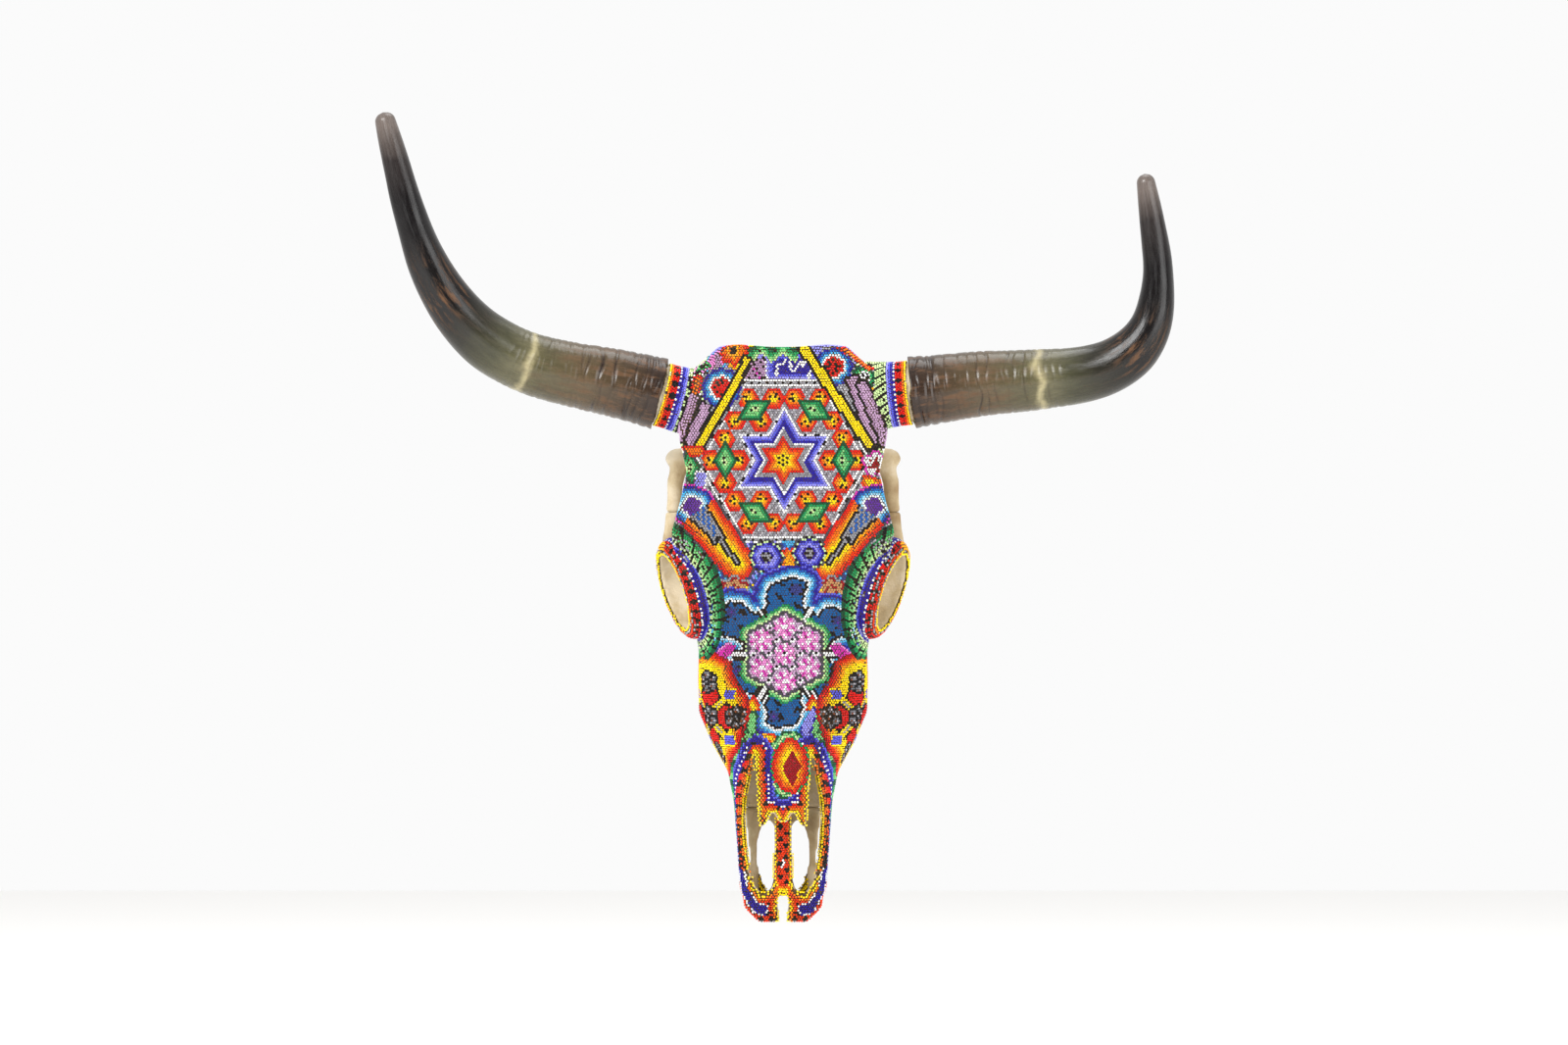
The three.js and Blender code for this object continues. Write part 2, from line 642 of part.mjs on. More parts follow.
// ---------------------------------------------------------------- hanger
function hangerPlate() {
  const { half, bottom, top, thick, corner } = PLATE;
  const plan = new THREE.Shape();
  plan.moveTo(-half + corner, bottom);
  plan.absarc(half - corner, bottom + corner, corner, -Math.PI / 2, 0);
  plan.absarc(half - corner, top - corner, corner, 0, Math.PI / 2);
  plan.absarc(-half + corner, top - corner, corner, Math.PI / 2, Math.PI);
  plan.absarc(-half + corner, bottom + corner, corner, Math.PI, (3 * Math.PI) / 2);
  const keyhole = new THREE.Path();
  const neck = Math.acos(KEYHOLE.slotR / KEYHOLE.r);
  keyhole.absarc(0, KEYHOLE.z, KEYHOLE.r, Math.PI - neck, neck + 2 * Math.PI);
  keyhole.absarc(0, KEYHOLE.slotTop, KEYHOLE.slotR, 0, Math.PI);
  plan.holes.push(keyhole);
  const prism = new THREE.ExtrudeGeometry(plan, { depth: thick, bevelEnabled: false, curveSegments: 4 });
  const plate = solid(prism, new THREE.Matrix4().makeRotationX(Math.PI / 2));
  return cut(plate, ...SIDES.map((side) => screwHole(side, GAP)));
}

// ---------------------------------------------------------------- assembly
const FINISH = {
  bone: { color: 0xcdbf9f, roughness: 0.75, metalness: 0 },
  tooth: { color: 0xd8ccae, roughness: 0.45, metalness: 0 },
  horn: { color: 0x4a4334, roughness: 0.4, metalness: 0 },
  wax: { color: 0xb98a3c, roughness: 0.6, metalness: 0 },
  beads: { color: 0xd8481e, roughness: 0.3, metalness: 0 },
  steel: { color: 0xa9abab, roughness: 0.4, metalness: 1 },
};
const materials = Object.fromEntries(
  Object.entries(FINISH).map(([name, look]) => [name, new THREE.MeshStandardMaterial(look)]));
const root = new THREE.Group();

function add(name, made, finish) {
  const { vertProperties, triVerts, numProp } = made.getMesh();
  const positions = new Float32Array((vertProperties.length / numProp) * 3);
  for (let i = 0; i * numProp < vertProperties.length; i++)
    positions.set(vertProperties.subarray(i * numProp, i * numProp + 3), i * 3);
  const geometry = new THREE.BufferGeometry();
  geometry.setAttribute("position", new THREE.BufferAttribute(positions, 3));
  geometry.setIndex(new THREE.BufferAttribute(new Uint32Array(triVerts), 1));
  const mesh = new THREE.Mesh(geometry, materials[finish]);
  mesh.name = name;
  root.add(mesh);
}

const mirrorSeed = ([x, y, z], side) => [x * -side.sign, y, z];
const boneParts = cut(wholeSkull(), ...sutures).decompose();
for (const [name, seed] of Object.entries(SINGLE_BONES)) add(name, pieceAt(boneParts, seed), "bone");
for (const side of SIDES)
  for (const [name, seed] of Object.entries(BONES))
    add(`${name}_${side.name}`, pieceAt(boneParts, mirrorSeed(seed, side)), "bone");
const VOMER = { half: 2, front: -92, top: -178, bottom: -342 };
const blade = block(-VOMER.half, VOMER.half, VOMER.front, 0, VOMER.bottom, VOMER.top);
add("vomer", blade.intersect(airway(GAP)), "bone");

for (const side of SIDES) for (const { name, made } of toothRow(side, 0)) add(name, made, "tooth");
for (const side of SIDES) add(`horn_sheath_${side.name}`, hornSheath(side), "horn");

// Of several pieces, the one whose middle is nearest a point.
function nearest(pieces, point) {
  const away = (piece) => {
    const { min, max } = piece.boundingBox();
    return Math.hypot(...point.map((v, k) => v - (min[k] + max[k]) / 2));
  };
  return pieces.reduce((best, piece) => (away(piece) < away(best) ? piece : best));
}

const PANELS = {
  poll: [0, -143, 24],
  face: [0, -155, -205],
  nose: [0, -112, -366],
};
const SIDE_PANELS = {
  forehead: [-45, -153, -60],
  horn_base: [-90, -141, -17],
  eye_ring: [-73, -113, -160],
  cheek: [-52, -108, -271],
};
const waxParts = skin(WAX).decompose();
add("wax_bed", waxParts.reduce((most, part) => (part.volume() > most.volume() ? part : most)), "wax");
add("wax_nose_bar", barSkin(WAX), "wax");
const panels = cut(skin(BEADS), ...panelSeams).decompose();
for (const [name, middle] of Object.entries(PANELS)) add(`beads_${name}`, nearest(panels, middle), "beads");
for (const side of SIDES)
  for (const [name, middle] of Object.entries(SIDE_PANELS))
    add(`beads_${name}_${side.name}`, nearest(panels, mirrorSeed(middle, side)), "beads");
add("beads_nose_bar", barSkin(BEADS), "beads");

add("hanger_plate", hangerPlate(), "steel");
for (const side of SIDES) add(`hanger_screw_${side.name}`, screwHole(side, 0), "steel");

export default root;
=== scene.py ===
import math
import random

import bmesh
import bpy
import numpy as np
from mathutils import Matrix, Vector, noise
from mathutils.bvhtree import BVHTree
from mathutils.kdtree import KDTree


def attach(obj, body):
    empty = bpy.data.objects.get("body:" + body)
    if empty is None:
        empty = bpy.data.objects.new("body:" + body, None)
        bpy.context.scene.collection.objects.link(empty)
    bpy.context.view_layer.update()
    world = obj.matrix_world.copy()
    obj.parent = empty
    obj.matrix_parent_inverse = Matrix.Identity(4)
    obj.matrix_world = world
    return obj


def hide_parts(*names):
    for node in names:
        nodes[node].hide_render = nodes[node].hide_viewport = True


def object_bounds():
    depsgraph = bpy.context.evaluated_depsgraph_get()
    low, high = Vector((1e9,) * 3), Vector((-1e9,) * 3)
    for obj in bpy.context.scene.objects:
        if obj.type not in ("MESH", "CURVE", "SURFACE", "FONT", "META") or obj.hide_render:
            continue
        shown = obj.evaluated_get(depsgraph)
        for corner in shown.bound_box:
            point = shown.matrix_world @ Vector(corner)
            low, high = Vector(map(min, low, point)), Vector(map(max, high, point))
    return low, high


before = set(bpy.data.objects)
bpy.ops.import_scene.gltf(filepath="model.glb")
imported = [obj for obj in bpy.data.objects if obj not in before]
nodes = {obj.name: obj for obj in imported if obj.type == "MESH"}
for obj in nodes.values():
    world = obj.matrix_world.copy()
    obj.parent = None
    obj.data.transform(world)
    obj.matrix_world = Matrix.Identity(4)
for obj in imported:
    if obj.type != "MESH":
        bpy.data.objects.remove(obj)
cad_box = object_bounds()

MM = 0.001
SIDES = {"left": -1, "right": 1}

# The view: straight at the face from the height of the nose, as one stands before a thing hung on a
# wall. The picture is 1.312 m wide where the face is.
FACE_Y = -160 * MM
PICTURE_WIDTH = 1312 * MM
VIEW_DISTANCE = 7.0
VIEW_HEIGHT = -109 * MM
SENSOR = 36

camera = bpy.data.objects.new("camera", bpy.data.cameras.new("camera"))
camera.data.sensor_width = SENSOR
camera.data.lens = SENSOR * VIEW_DISTANCE / PICTURE_WIDTH
camera.location = (0.8 * MM, FACE_Y - VIEW_DISTANCE, VIEW_HEIGHT)
camera.rotation_euler = (math.pi / 2, 0, 0)
bpy.context.collection.objects.link(camera)
bpy.context.scene.camera = camera


# The room: a pale floor well below, one big soft light from the upper left, a weaker one from the
# right, a small one overhead, and a white wall for the beads and horns to mirror, dimmer behind the viewer.
def tone(colour):
    """An sRGB hex colour as linear RGBA."""
    channels = [int(colour[i:i + 2], 16) / 255 for i in (1, 3, 5)]
    return [c / 12.92 if c <= 0.04045 else ((c + 0.055) / 1.055) ** 2.4 for c in channels] + [1.0]


def add_node(tree, kind, settings=None, **links):
    """Adds a shader node: settings by name, and each input by its name with spaces as underscores."""
    made = tree.nodes.new(kind)
    for name, value in (settings or {}).items():
        setattr(made, name, value)
    for name, value in links.items():
        socket = made.inputs[int(name[1:])] if name[1:].isdigit() else made.inputs[name.replace("_", " ")]
        if isinstance(value, bpy.types.NodeSocket):
            tree.links.new(value, socket)
        else:
            socket.default_value = value
    return made


def new_material(name):
    """A material with only its output: the tree, its surface shader and the output socket."""
    material = bpy.data.materials.new(name)
    material.use_nodes = True
    tree = material.node_tree
    return material, tree, tree.nodes["Principled BSDF"]


FLOOR_SIZE = 7
FLOOR_DROP = 130 * MM

bm = bmesh.new()
bmesh.ops.create_grid(bm, x_segments=2, y_segments=2, size=FLOOR_SIZE / 2)
bmesh.ops.translate(bm, verts=bm.verts, vec=(0, 0, cad_box[0][2] - FLOOR_DROP))
floor_mesh = bpy.data.meshes.new("floor")
bm.to_mesh(floor_mesh)
bm.free()
floor = bpy.data.objects.new("floor", floor_mesh)
bpy.context.collection.objects.link(floor)
floor_paint, tree, shader = new_material("floor_paint")
shader.inputs["Base Color"].default_value = tone("#fbfaf8")
shader.inputs["Roughness"].default_value = 0.8
floor_mesh.materials.append(floor_paint)

LIGHTS = {
    "key": {"place": (-1.5, -2.2, 1.3), "size": 1.4, "power": 92},
    "fill": {"place": (1.7, -1.9, 0.2), "size": 1.8, "power": 46},
    "top": {"place": (0.2, 0.3, 1.8), "size": 1.2, "power": 18},
}
LIT_POINT = Vector((0, -0.1, -0.1))
for name, light in LIGHTS.items():
    lamp = bpy.data.objects.new(name, bpy.data.lights.new(name, "AREA"))
    lamp.data.size = light["size"]
    lamp.data.energy = light["power"]
    lamp.location = light["place"]
    lamp.rotation_euler = (LIT_POINT - lamp.location).to_track_quat("-Z", "Y").to_euler()
    bpy.context.collection.objects.link(lamp)

world = bpy.data.worlds.new("white_room")
bpy.context.scene.world = world
world.use_nodes = True
room_tree = world.node_tree
sight = add_node(room_tree, "ShaderNodeTexCoord").outputs["Generated"]
bright_side = add_node(room_tree, "ShaderNodeVectorMath", {"operation": "DOT_PRODUCT"}, _0=sight, _1=(0, 1, 0.85))
ROOM_BEHIND = 0.32  # the room behind the viewer is dimmer than the wall the skull hangs before
brightness = add_node(room_tree, "ShaderNodeMapRange", Value=bright_side.outputs["Value"], _1=-0.5,
                      _2=0.45, _3=ROOM_BEHIND)
background = room_tree.nodes["Background"]
background.inputs["Color"].default_value = tone("#fbfbfb")
seen = add_node(room_tree, "ShaderNodeLightPath").outputs["Is Camera Ray"]  # to the eye it is white all round
strength = add_node(room_tree, "ShaderNodeMath", {"operation": "MAXIMUM"}, _0=brightness.outputs["Result"], _1=seen)
room_tree.links.new(strength.outputs["Value"], background.inputs["Strength"])
bpy.context.scene.view_settings.view_transform = "Standard"

# The skull: sixteen bones and four single ones of an old cow, dried and bleached, each grown to its
# neighbours along a fine seam. Every bone is a welded copy of its CAD solid, cut up finely, and all of
# them are drawn onto one faired surface, so they stay flush across the seams.
PAIRED_BONES = ["frontal", "temporal", "lacrimal", "zygomatic", "nasal", "maxilla", "palatine", "premaxilla"]
SINGLE_BONES = ["interparietal", "occipital", "sphenoid", "vomer"]
bone_names = [f"{bone}_{side}" for bone in PAIRED_BONES for side in SIDES] + SINGLE_BONES


def welded(*names):
    """A bmesh with the CAD nodes' loose triangles joined up."""
    made = bmesh.new()
    for name in names:
        made.from_mesh(nodes[name].data)
    bmesh.ops.remove_doubles(made, verts=made.verts, dist=1e-6)
    return made


def shown(name, made, *materials):
    """Puts a bmesh on show as an object at the origin."""
    mesh = bpy.data.meshes.new(name)
    made.to_mesh(mesh)
    made.free()
    piece = bpy.data.objects.new(name, mesh)
    bpy.context.collection.objects.link(piece)
    for material in materials:
        mesh.materials.append(material)
    return piece


def finished(piece):
    """Turns the piece's modifiers into its mesh."""
    graph = bpy.context.evaluated_depsgraph_get()
    mesh = bpy.data.meshes.new_from_object(piece.evaluated_get(graph))
    piece.modifiers.clear()
    old, piece.data = piece.data, mesh
    mesh.name = piece.name
    bpy.data.meshes.remove(old)


def recut(piece, size):
    """Cuts a closed piece into even little faces."""
    remesh = piece.modifiers.new("recut", "REMESH")
    remesh.mode = "VOXEL"
    remesh.voxel_size = size
    finished(piece)


def points_of(mesh):
    points = np.empty(len(mesh.vertices) * 3)
    mesh.vertices.foreach_get("co", points)
    return points.reshape(-1, 3)


def put_points(mesh, points):
    mesh.vertices.foreach_set("co", np.ascontiguousarray(points, dtype=np.float32).ravel())
    mesh.update()


def faired(mesh, rounds, shrink=0.55, swell=-0.575):
    """The mesh's points with short ripples taken out and its bulk kept: each round shrinks and swells."""
    points = points_of(mesh)
    ends = np.empty(len(mesh.edges) * 2, dtype=np.int64)
    mesh.edges.foreach_get("vertices", ends)
    first, second = ends[0::2], ends[1::2]
    count = len(points)
    degree = np.bincount(ends, minlength=count)
    for _ in range(rounds):
        for weight in (shrink, swell):
            middle = np.empty_like(points)
            for k in range(3):
                middle[:, k] = np.bincount(first, points[second, k], count)
                middle[:, k] += np.bincount(second, points[first, k], count)
            points += weight * (middle / degree[:, None] - points)
    return points


CUT = 1.8 * MM
FAIRING_ROUNDS = 45
REACH = 4 * MM  # how far inside a bone the fairing is still felt

form = shown("form", welded(*[name for name in bone_names if name != "vomer"]))
recut(form, CUT)
rough = points_of(form.data)
smooth = faired(form.data, FAIRING_ROUNDS)

# The crown stands up in two low bumps, and the muzzle's lobes are full and round.
CROWN_BUMP = 3.2 * MM
BUMP_APART = 37 * MM
LOBE_SWELL = 0.2


def eased(values, start, end):
    """0 before the start and 1 after the end, with a smooth rise between."""
    t = np.clip((values - start) / (end - start), 0, 1)
    return t * t * (3 - 2 * t)


bumps = 0.35 + 0.65 * np.exp(-((np.abs(smooth[:, 0]) - BUMP_APART) / (17 * MM)) ** 2)
smooth[:, 2] += CROWN_BUMP * bumps * eased(smooth[:, 2], 14 * MM, 33 * MM) * (np.abs(smooth[:, 0]) < 74 * MM)
low = np.exp(-((smooth[:, 2] + 435 * MM) / (7 * MM)) ** 2)
smooth[:, 0] += np.sign(smooth[:, 0]) * np.maximum(np.abs(smooth[:, 0]) - 6 * MM, 0) * LOBE_SWELL * low
put_points(form.data, smooth)

lookup = KDTree(len(rough))
for i, point in enumerate(rough):
    lookup.insert(point, i)
lookup.balance()


def drawn_to_form(mesh):
    """Moves a bone's outer points as far as the whole skull's surface moved there."""
    points = points_of(mesh)
    for i, point in enumerate(points):
        _, nearest, distance = lookup.find(point)
        if distance < REACH:
            points[i] += (smooth[nearest] - rough[nearest]) * min(1, 2 - 2 * distance / REACH)
    put_points(mesh, points)


# Old bone: chalky and porous, ivory where it is dense and tan where fat and soil have stained it.
bone, tree, shader = new_material("dry_bleached_bone")
place = add_node(tree, "ShaderNodeTexCoord").outputs["Object"]
stains = add_node(tree, "ShaderNodeTexNoise", Vector=place, Scale=26, Detail=6, Roughness=0.62)
blotches = add_node(tree, "ShaderNodeTexNoise", Vector=place, Scale=7, Detail=3)
pores = add_node(tree, "ShaderNodeTexVoronoi", Vector=place, Scale=620)
grit = add_node(tree, "ShaderNodeTexNoise", Vector=place, Scale=420, Detail=5, Roughness=0.7)
tint = add_node(tree, "ShaderNodeValToRGB", Fac=stains.outputs["Fac"])
ramp = tint.color_ramp
ramp.elements[0].position, ramp.elements[0].color = 0.3, tone("#9c8562")
ramp.elements[1].position, ramp.elements[1].color = 0.58, tone("#d2c7b0")
middle = ramp.elements.new(0.48)
middle.color = tone("#c2b394")
aged = add_node(tree, "ShaderNodeMix", {"data_type": "RGBA", "blend_type": "MULTIPLY"},
                _0=0.5, _6=tint.outputs["Color"], _7=(1, 1, 1, 1))
shade = add_node(tree, "ShaderNodeValToRGB", Fac=blotches.outputs["Fac"])
shade.color_ramp.elements[0].position, shade.color_ramp.elements[0].color = 0.38, tone("#cbb796")
shade.color_ramp.elements[1].position, shade.color_ramp.elements[1].color = 0.6, tone("#ffffff")
tree.links.new(shade.outputs["Color"], aged.inputs[7])
tree.links.new(aged.outputs[2], shader.inputs["Base Color"])
height = add_node(tree, "ShaderNodeMath", {"operation": "MULTIPLY_ADD"}, _0=pores.outputs["Distance"], _1=0.5,
                  _2=grit.outputs["Fac"])
bump = add_node(tree, "ShaderNodeBump", Height=height.outputs["Value"], Strength=0.6, Distance=0.5 * MM)
tree.links.new(bump.outputs["Normal"], shader.inputs["Normal"])
shader.inputs["Roughness"].default_value = 0.72
shader.inputs["Specular IOR Level"].default_value = 0.3

SEAM_GROWTH = 0.18 * MM  # the seams are all but closed
for name in bone_names:
    made = shown(f"bone_{name}", welded(name), bone)
    recut(made, CUT)
    drawn_to_form(made.data)
    put_points(made.data, faired(made.data, 2))
    normals = np.empty(len(made.data.vertices) * 3, dtype=np.float32)
    made.data.vertices.foreach_get("normal", normals)
    put_points(made.data, points_of(made.data) + normals.reshape(-1, 3) * SEAM_GROWTH)
    made.data.shade_smooth()
    made.data.materials.clear()
    made.data.materials.append(bone)
    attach(made, "skull")
    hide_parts(name)


# The wax: a bed of beeswax and pine resin about a millimetre thick, warmed and pressed on the bone
# wherever there are beads. It is the skull's own surface, lifted.
WAX_LIFT = 0.15 * MM
WAX_DEPTH = 1.1 * MM
FEEL_OUT = 6 * MM
FEEL_IN = 4 * MM

wax_cad = welded("wax_bed", "wax_nose_bar")
wax_tree = BVHTree.FromBMesh(wax_cad)
wax_cad.free()


def bedded(point, normal):
    """Whether there is wax over this place on the bone."""
    if abs(point.x) < 21 * MM and -424 * MM < point.z < -388 * MM and normal.y < -0.3:
        return True  # the foot of the nose bar
    hit, lie, _, _ = wax_tree.ray_cast(point + normal * FEEL_OUT, -normal, FEEL_OUT + FEEL_IN)
    return hit is not None and lie.dot(normal) > 0.3


wax, tree, shader = new_material("pressed_beeswax_darkened_for_shade")
place = add_node(tree, "ShaderNodeTexCoord").outputs["Object"]
mottle = add_node(tree, "ShaderNodeTexNoise", Vector=place, Scale=90, Detail=4)
# The wax is brown, painted darker than beeswax is as painted shade in the gaps between the beads; its mottle is the
# wax's own.
tint = add_node(tree, "ShaderNodeValToRGB", Fac=mottle.outputs["Fac"])
tint.color_ramp.elements[0].position, tint.color_ramp.elements[0].color = 0.35, tone("#2a1c0c")
tint.color_ramp.elements[1].position, tint.color_ramp.elements[1].color = 0.65, tone("#4a3416")
tree.links.new(tint.outputs["Color"], shader.inputs["Base Color"])
dents = add_node(tree, "ShaderNodeTexNoise", Vector=place, Scale=350, Detail=2)
bump = add_node(tree, "ShaderNodeBump", Height=dents.outputs["Fac"], Strength=0.4, Distance=0.3 * MM)
tree.links.new(bump.outputs["Normal"], shader.inputs["Normal"])
shader.inputs["Specular IOR Level"].default_value = 0.25
shader.inputs["Roughness"].default_value = 0.5

bm = bmesh.new()
bm.from_mesh(form.data)
bm.normal_update()
bare = [face for face in bm.faces if not bedded(face.calc_center_median(), face.normal)]
bmesh.ops.delete(bm, geom=bare, context="FACES")
for _ in range(4):
    rim = [v for v in bm.verts if v.is_boundary]
    bmesh.ops.smooth_vert(bm, verts=rim, factor=0.5, use_axis_x=True, use_axis_y=True, use_axis_z=True)
for v in bm.verts:
    v.co += v.normal * WAX_LIFT
wax_bed = shown("wax_bed", bm, wax)
coat = wax_bed.modifiers.new("coat", "SOLIDIFY")
coat.thickness = WAX_DEPTH
coat.offset = 1
finished(wax_bed)
wax_bed.data.shade_smooth()
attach(wax_bed, "skull")
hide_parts("wax_bed", "wax_nose_bar")

# The beads: some twenty-four thousand round glass seed beads, each pressed into the wax on its side
# so that its hole looks outwards. They stand in level rows, each row half a bead along from the next.
# Round the eyes and the horns the rows follow the edge instead.
PITCH = 2.19 * MM
ROW = PITCH * math.sqrt(3) / 2
CLOSE = 0.84 * PITCH  # no two beads are first set nearer than this
SPARE = 0.7 * PITCH  # a gap this far from every bead takes one more
SETTLING_ROUNDS = 14

form_tree = BVHTree.FromPolygons([v.co for v in form.data.vertices], [f.vertices for f in form.data.polygons])
seats = []
belonging = []
cells = {}


def cell_of(point):
    return tuple(math.floor(c / PITCH) for c in point)


def room(point, gap):
    """Whether no bead lies nearer to the point than the gap."""
    i, j, k = cell_of(point)
    for a in (i - 1, i, i + 1):
        for b in (j - 1, j, j + 1):
            for c in (k - 1, k, k + 1):
                for other in cells.get((a, b, c), ()):
                    if (other - point).length < gap:
                        return False
    return True


def press(point, normal, gap=CLOSE, belongs=("field", 0, 0)):
    """Sets a bead if there is wax under it and room beside it, and notes what row it belongs to."""
    if (belongs[0] == "edge" or bedded(point, normal)) and room(point, gap):
        seats.append(point)
        belonging.append(belongs)
        cells.setdefault(cell_of(point), []).append(point)


def cast(start, direction, lean=0.0, belongs=("field", 0, 0)):
    """Sets a bead where a ray meets the bone, if it meets it squarely enough."""
    point, normal, _, _ = form_tree.ray_cast(start, direction)
    if point is not None and -normal.dot(direction) > lean:
        press(point, normal, belongs=belongs)


# Rows round the eyes and the horns' stumps, from the edge outwards.
EYE_CENTRE = {side: Vector((90 * sign, -110, -167)) * MM for side, sign in SIDES.items()}
EYE_AXIS = {side: Vector((0.915 * sign, -0.265, -0.305)).normalized() for side, sign in SIDES.items()}
EYE_HOLE = 33 * MM
EYE_ROWS = 22
HORN_START = {"left": Vector((-107, -130, 0)) * MM, "right": Vector((107, -130, 0)) * MM}
HORN_BEND = {"left": Vector((-247, -147, 39)) * MM, "right": Vector((238, -143, 12.5)) * MM}
HORN_AXIS = {side: (HORN_BEND[side] - HORN_START[side]).normalized() for side in SIDES}
BEADS_END = {"left": 103 * MM, "right": 107 * MM}
STUMP_END = {side: HORN_START[side] - HORN_AXIS[side] * (107 * MM - BEADS_END[side]) / abs(HORN_AXIS[side].x)
             for side in SIDES}
HORN_ROWS = 15


def spokes(axis, radius):
    """Unit vectors round an axis, a bead apart at the radius."""
    across = axis.cross(Vector((0, 0, 1))).normalized()
    up = across.cross(axis)
    count = round(2 * math.pi * radius / PITCH)
    for i in range(count):
        angle = 2 * math.pi * i / count
        yield across * math.cos(angle) + up * math.sin(angle)


def next_row(ring, way, number):
    """A closed row of places over the bone, one row further out than the last."""
    moved = []
    for i, point in enumerate(ring):
        along = (ring[(i + 1) % len(ring)] - ring[i - 1]).normalized()
        outward = along.cross(form_tree.find_nearest(point)[1]) * way
        moved.append(form_tree.find_nearest(point + outward * ROW)[0])
    for _ in range(2):
        moved = [(moved[i - 1] + moved[i] * 2 + moved[(i + 1) % len(moved)]) / 4 for i in range(len(moved))]
    loop = np.array(moved + [moved[0]])
    run = np.concatenate([[0], np.cumsum(np.linalg.norm(np.diff(loop, axis=0), axis=1))])
    count = round(run[-1] / PITCH)
    at = (np.arange(count) + 0.5 * (number % 2)) * run[-1] / count
    evenly = np.column_stack([np.interp(at, run, loop[:, k]) for k in range(3)])
    return [form_tree.find_nearest(Vector(point))[0] for point in evenly]


for side, sign in SIDES.items():
    axis, middle = EYE_AXIS[side], EYE_CENTRE[side]
    radius = EYE_HOLE + 1.3 * MM
    ring = []
    for spoke in spokes(axis, radius):
        ring.append(form_tree.ray_cast(middle + spoke * radius + axis * 20 * MM, -axis)[0])
    way = 1
    if (ring[1] - ring[-1]).cross(axis).dot(ring[0] - middle) < 0:
        way = -1
    for row in range(EYE_ROWS):
        for point in ring:
            away = point - middle
            turn = math.atan2(away.z, (away.y * axis.x - away.x * axis.y) * sign)
            press(point, form_tree.find_nearest(point)[1], belongs=(f"eye_{side}", row, turn))
        ring = next_row(ring, way, row + 1)
    for row in range(HORN_ROWS):
        middle = STUMP_END[side] - HORN_AXIS[side] * (1.6 * MM + row * ROW)
        for number, spoke in enumerate(spokes(HORN_AXIS[side], 27 * MM)):
            half = spoke + (spoke.cross(HORN_AXIS[side]) * (0.5 * (row % 2) * PITCH / (27 * MM)))
            turn = math.atan2(half.z, -half.y)
            cast(middle + half * 45 * MM, -half, belongs=(f"horn_{side}", row, turn))

# Two rows stand on the thin front edge at each side of the nose opening and look straight out.
EDGE_TOP = -318 * MM
EDGE_END = -404 * MM
EDGE_FACING = 0.22  # how much they lean outwards
wax_skin = BVHTree.FromPolygons([v.co for v in wax_bed.data.vertices], [f.vertices for f in wax_bed.data.polygons])
for side, sign in SIDES.items():
    for number in range(2):
        for step in range(math.floor((EDGE_TOP - EDGE_END) / PITCH)):
            z = EDGE_TOP - (step + 0.5 * number) * PITCH
            front = []
            for tenth in range(240, 440, 3):
                above = Vector((sign * tenth / 10 * MM, -300 * MM, z))
                point = wax_skin.ray_cast(above, Vector((0, 1, 0)))[0]
                if point is not None and point.y < -80 * MM:
                    front.append(point)
            foremost = min((point.y for point in front), default=0)
            crest = [point for point in front if point.y < foremost + 3 * MM]
            if crest:
                across = min(abs(point.x) for point in crest) + 0.8 * MM + number * ROW
                top = min(crest, key=lambda point: abs(abs(point.x) - across))
                seat = Vector((sign * across, top.y + WAX_LIFT + WAX_DEPTH, z))
                press(seat, Vector((0, -1, 0)), belongs=("edge", number, step))

# Level rows over the rest: from the front, then from the sides, then from above.
(x_low, y_low, z_low), (x_high, y_high, z_high) = cad_box
SQUARE = 0.71
for row in range(math.floor(-460 * MM / ROW), math.ceil(45 * MM / ROW)):
    z = row * ROW
    shift = 0.5 * (row % 2)
    for column in range(-60, 61):
        cast(Vector(((column + shift) * PITCH, -300 * MM, z)), Vector((0, 1, 0)), SQUARE)
for row in range(math.floor(-460 * MM / ROW), math.ceil(45 * MM / ROW)):
    shift = 0.5 * (row % 2)
    for column in range(-80, -20):
        for sign in SIDES.values():
            start = Vector((sign * 200 * MM, (column + shift) * PITCH, row * ROW))
            cast(start, Vector((-sign, 0, 0)), 0.65)
for row in range(-90, -40):
    shift = 0.5 * (row % 2)
    for column in range(-60, 61):
        cast(Vector(((column + shift) * PITCH, row * ROW, 100 * MM)), Vector((0, 0, -1)), 0.6)

# One more bead in every gap, and then they all settle side by side.
form.data.calc_loop_triangles()
for vertex in form.data.vertices:
    press(vertex.co.copy(), vertex.normal, SPARE)

places = np.array(seats)
for _ in range(SETTLING_ROUNDS):
    near = KDTree(len(places))
    for i, point in enumerate(places):
        near.insert(point, i)
    near.balance()
    push = np.zeros_like(places)
    for i, point in enumerate(places):
        for other, j, distance in near.find_range(point, PITCH * 0.985):
            if j != i and distance > 0:
                push[i] += (point - np.array(other)) * (0.35 * (PITCH * 0.985 - distance) / distance)
    moved = np.nonzero(np.abs(push).sum(axis=1) > 1e-5)[0]
    for i in moved:
        if belonging[i][0] == "edge":
            continue
        point, normal, _, _ = form_tree.find_nearest(Vector(places[i] + push[i]))
        if bedded(point, normal):
            places[i] = point
seats = [Vector(point) for point in places]
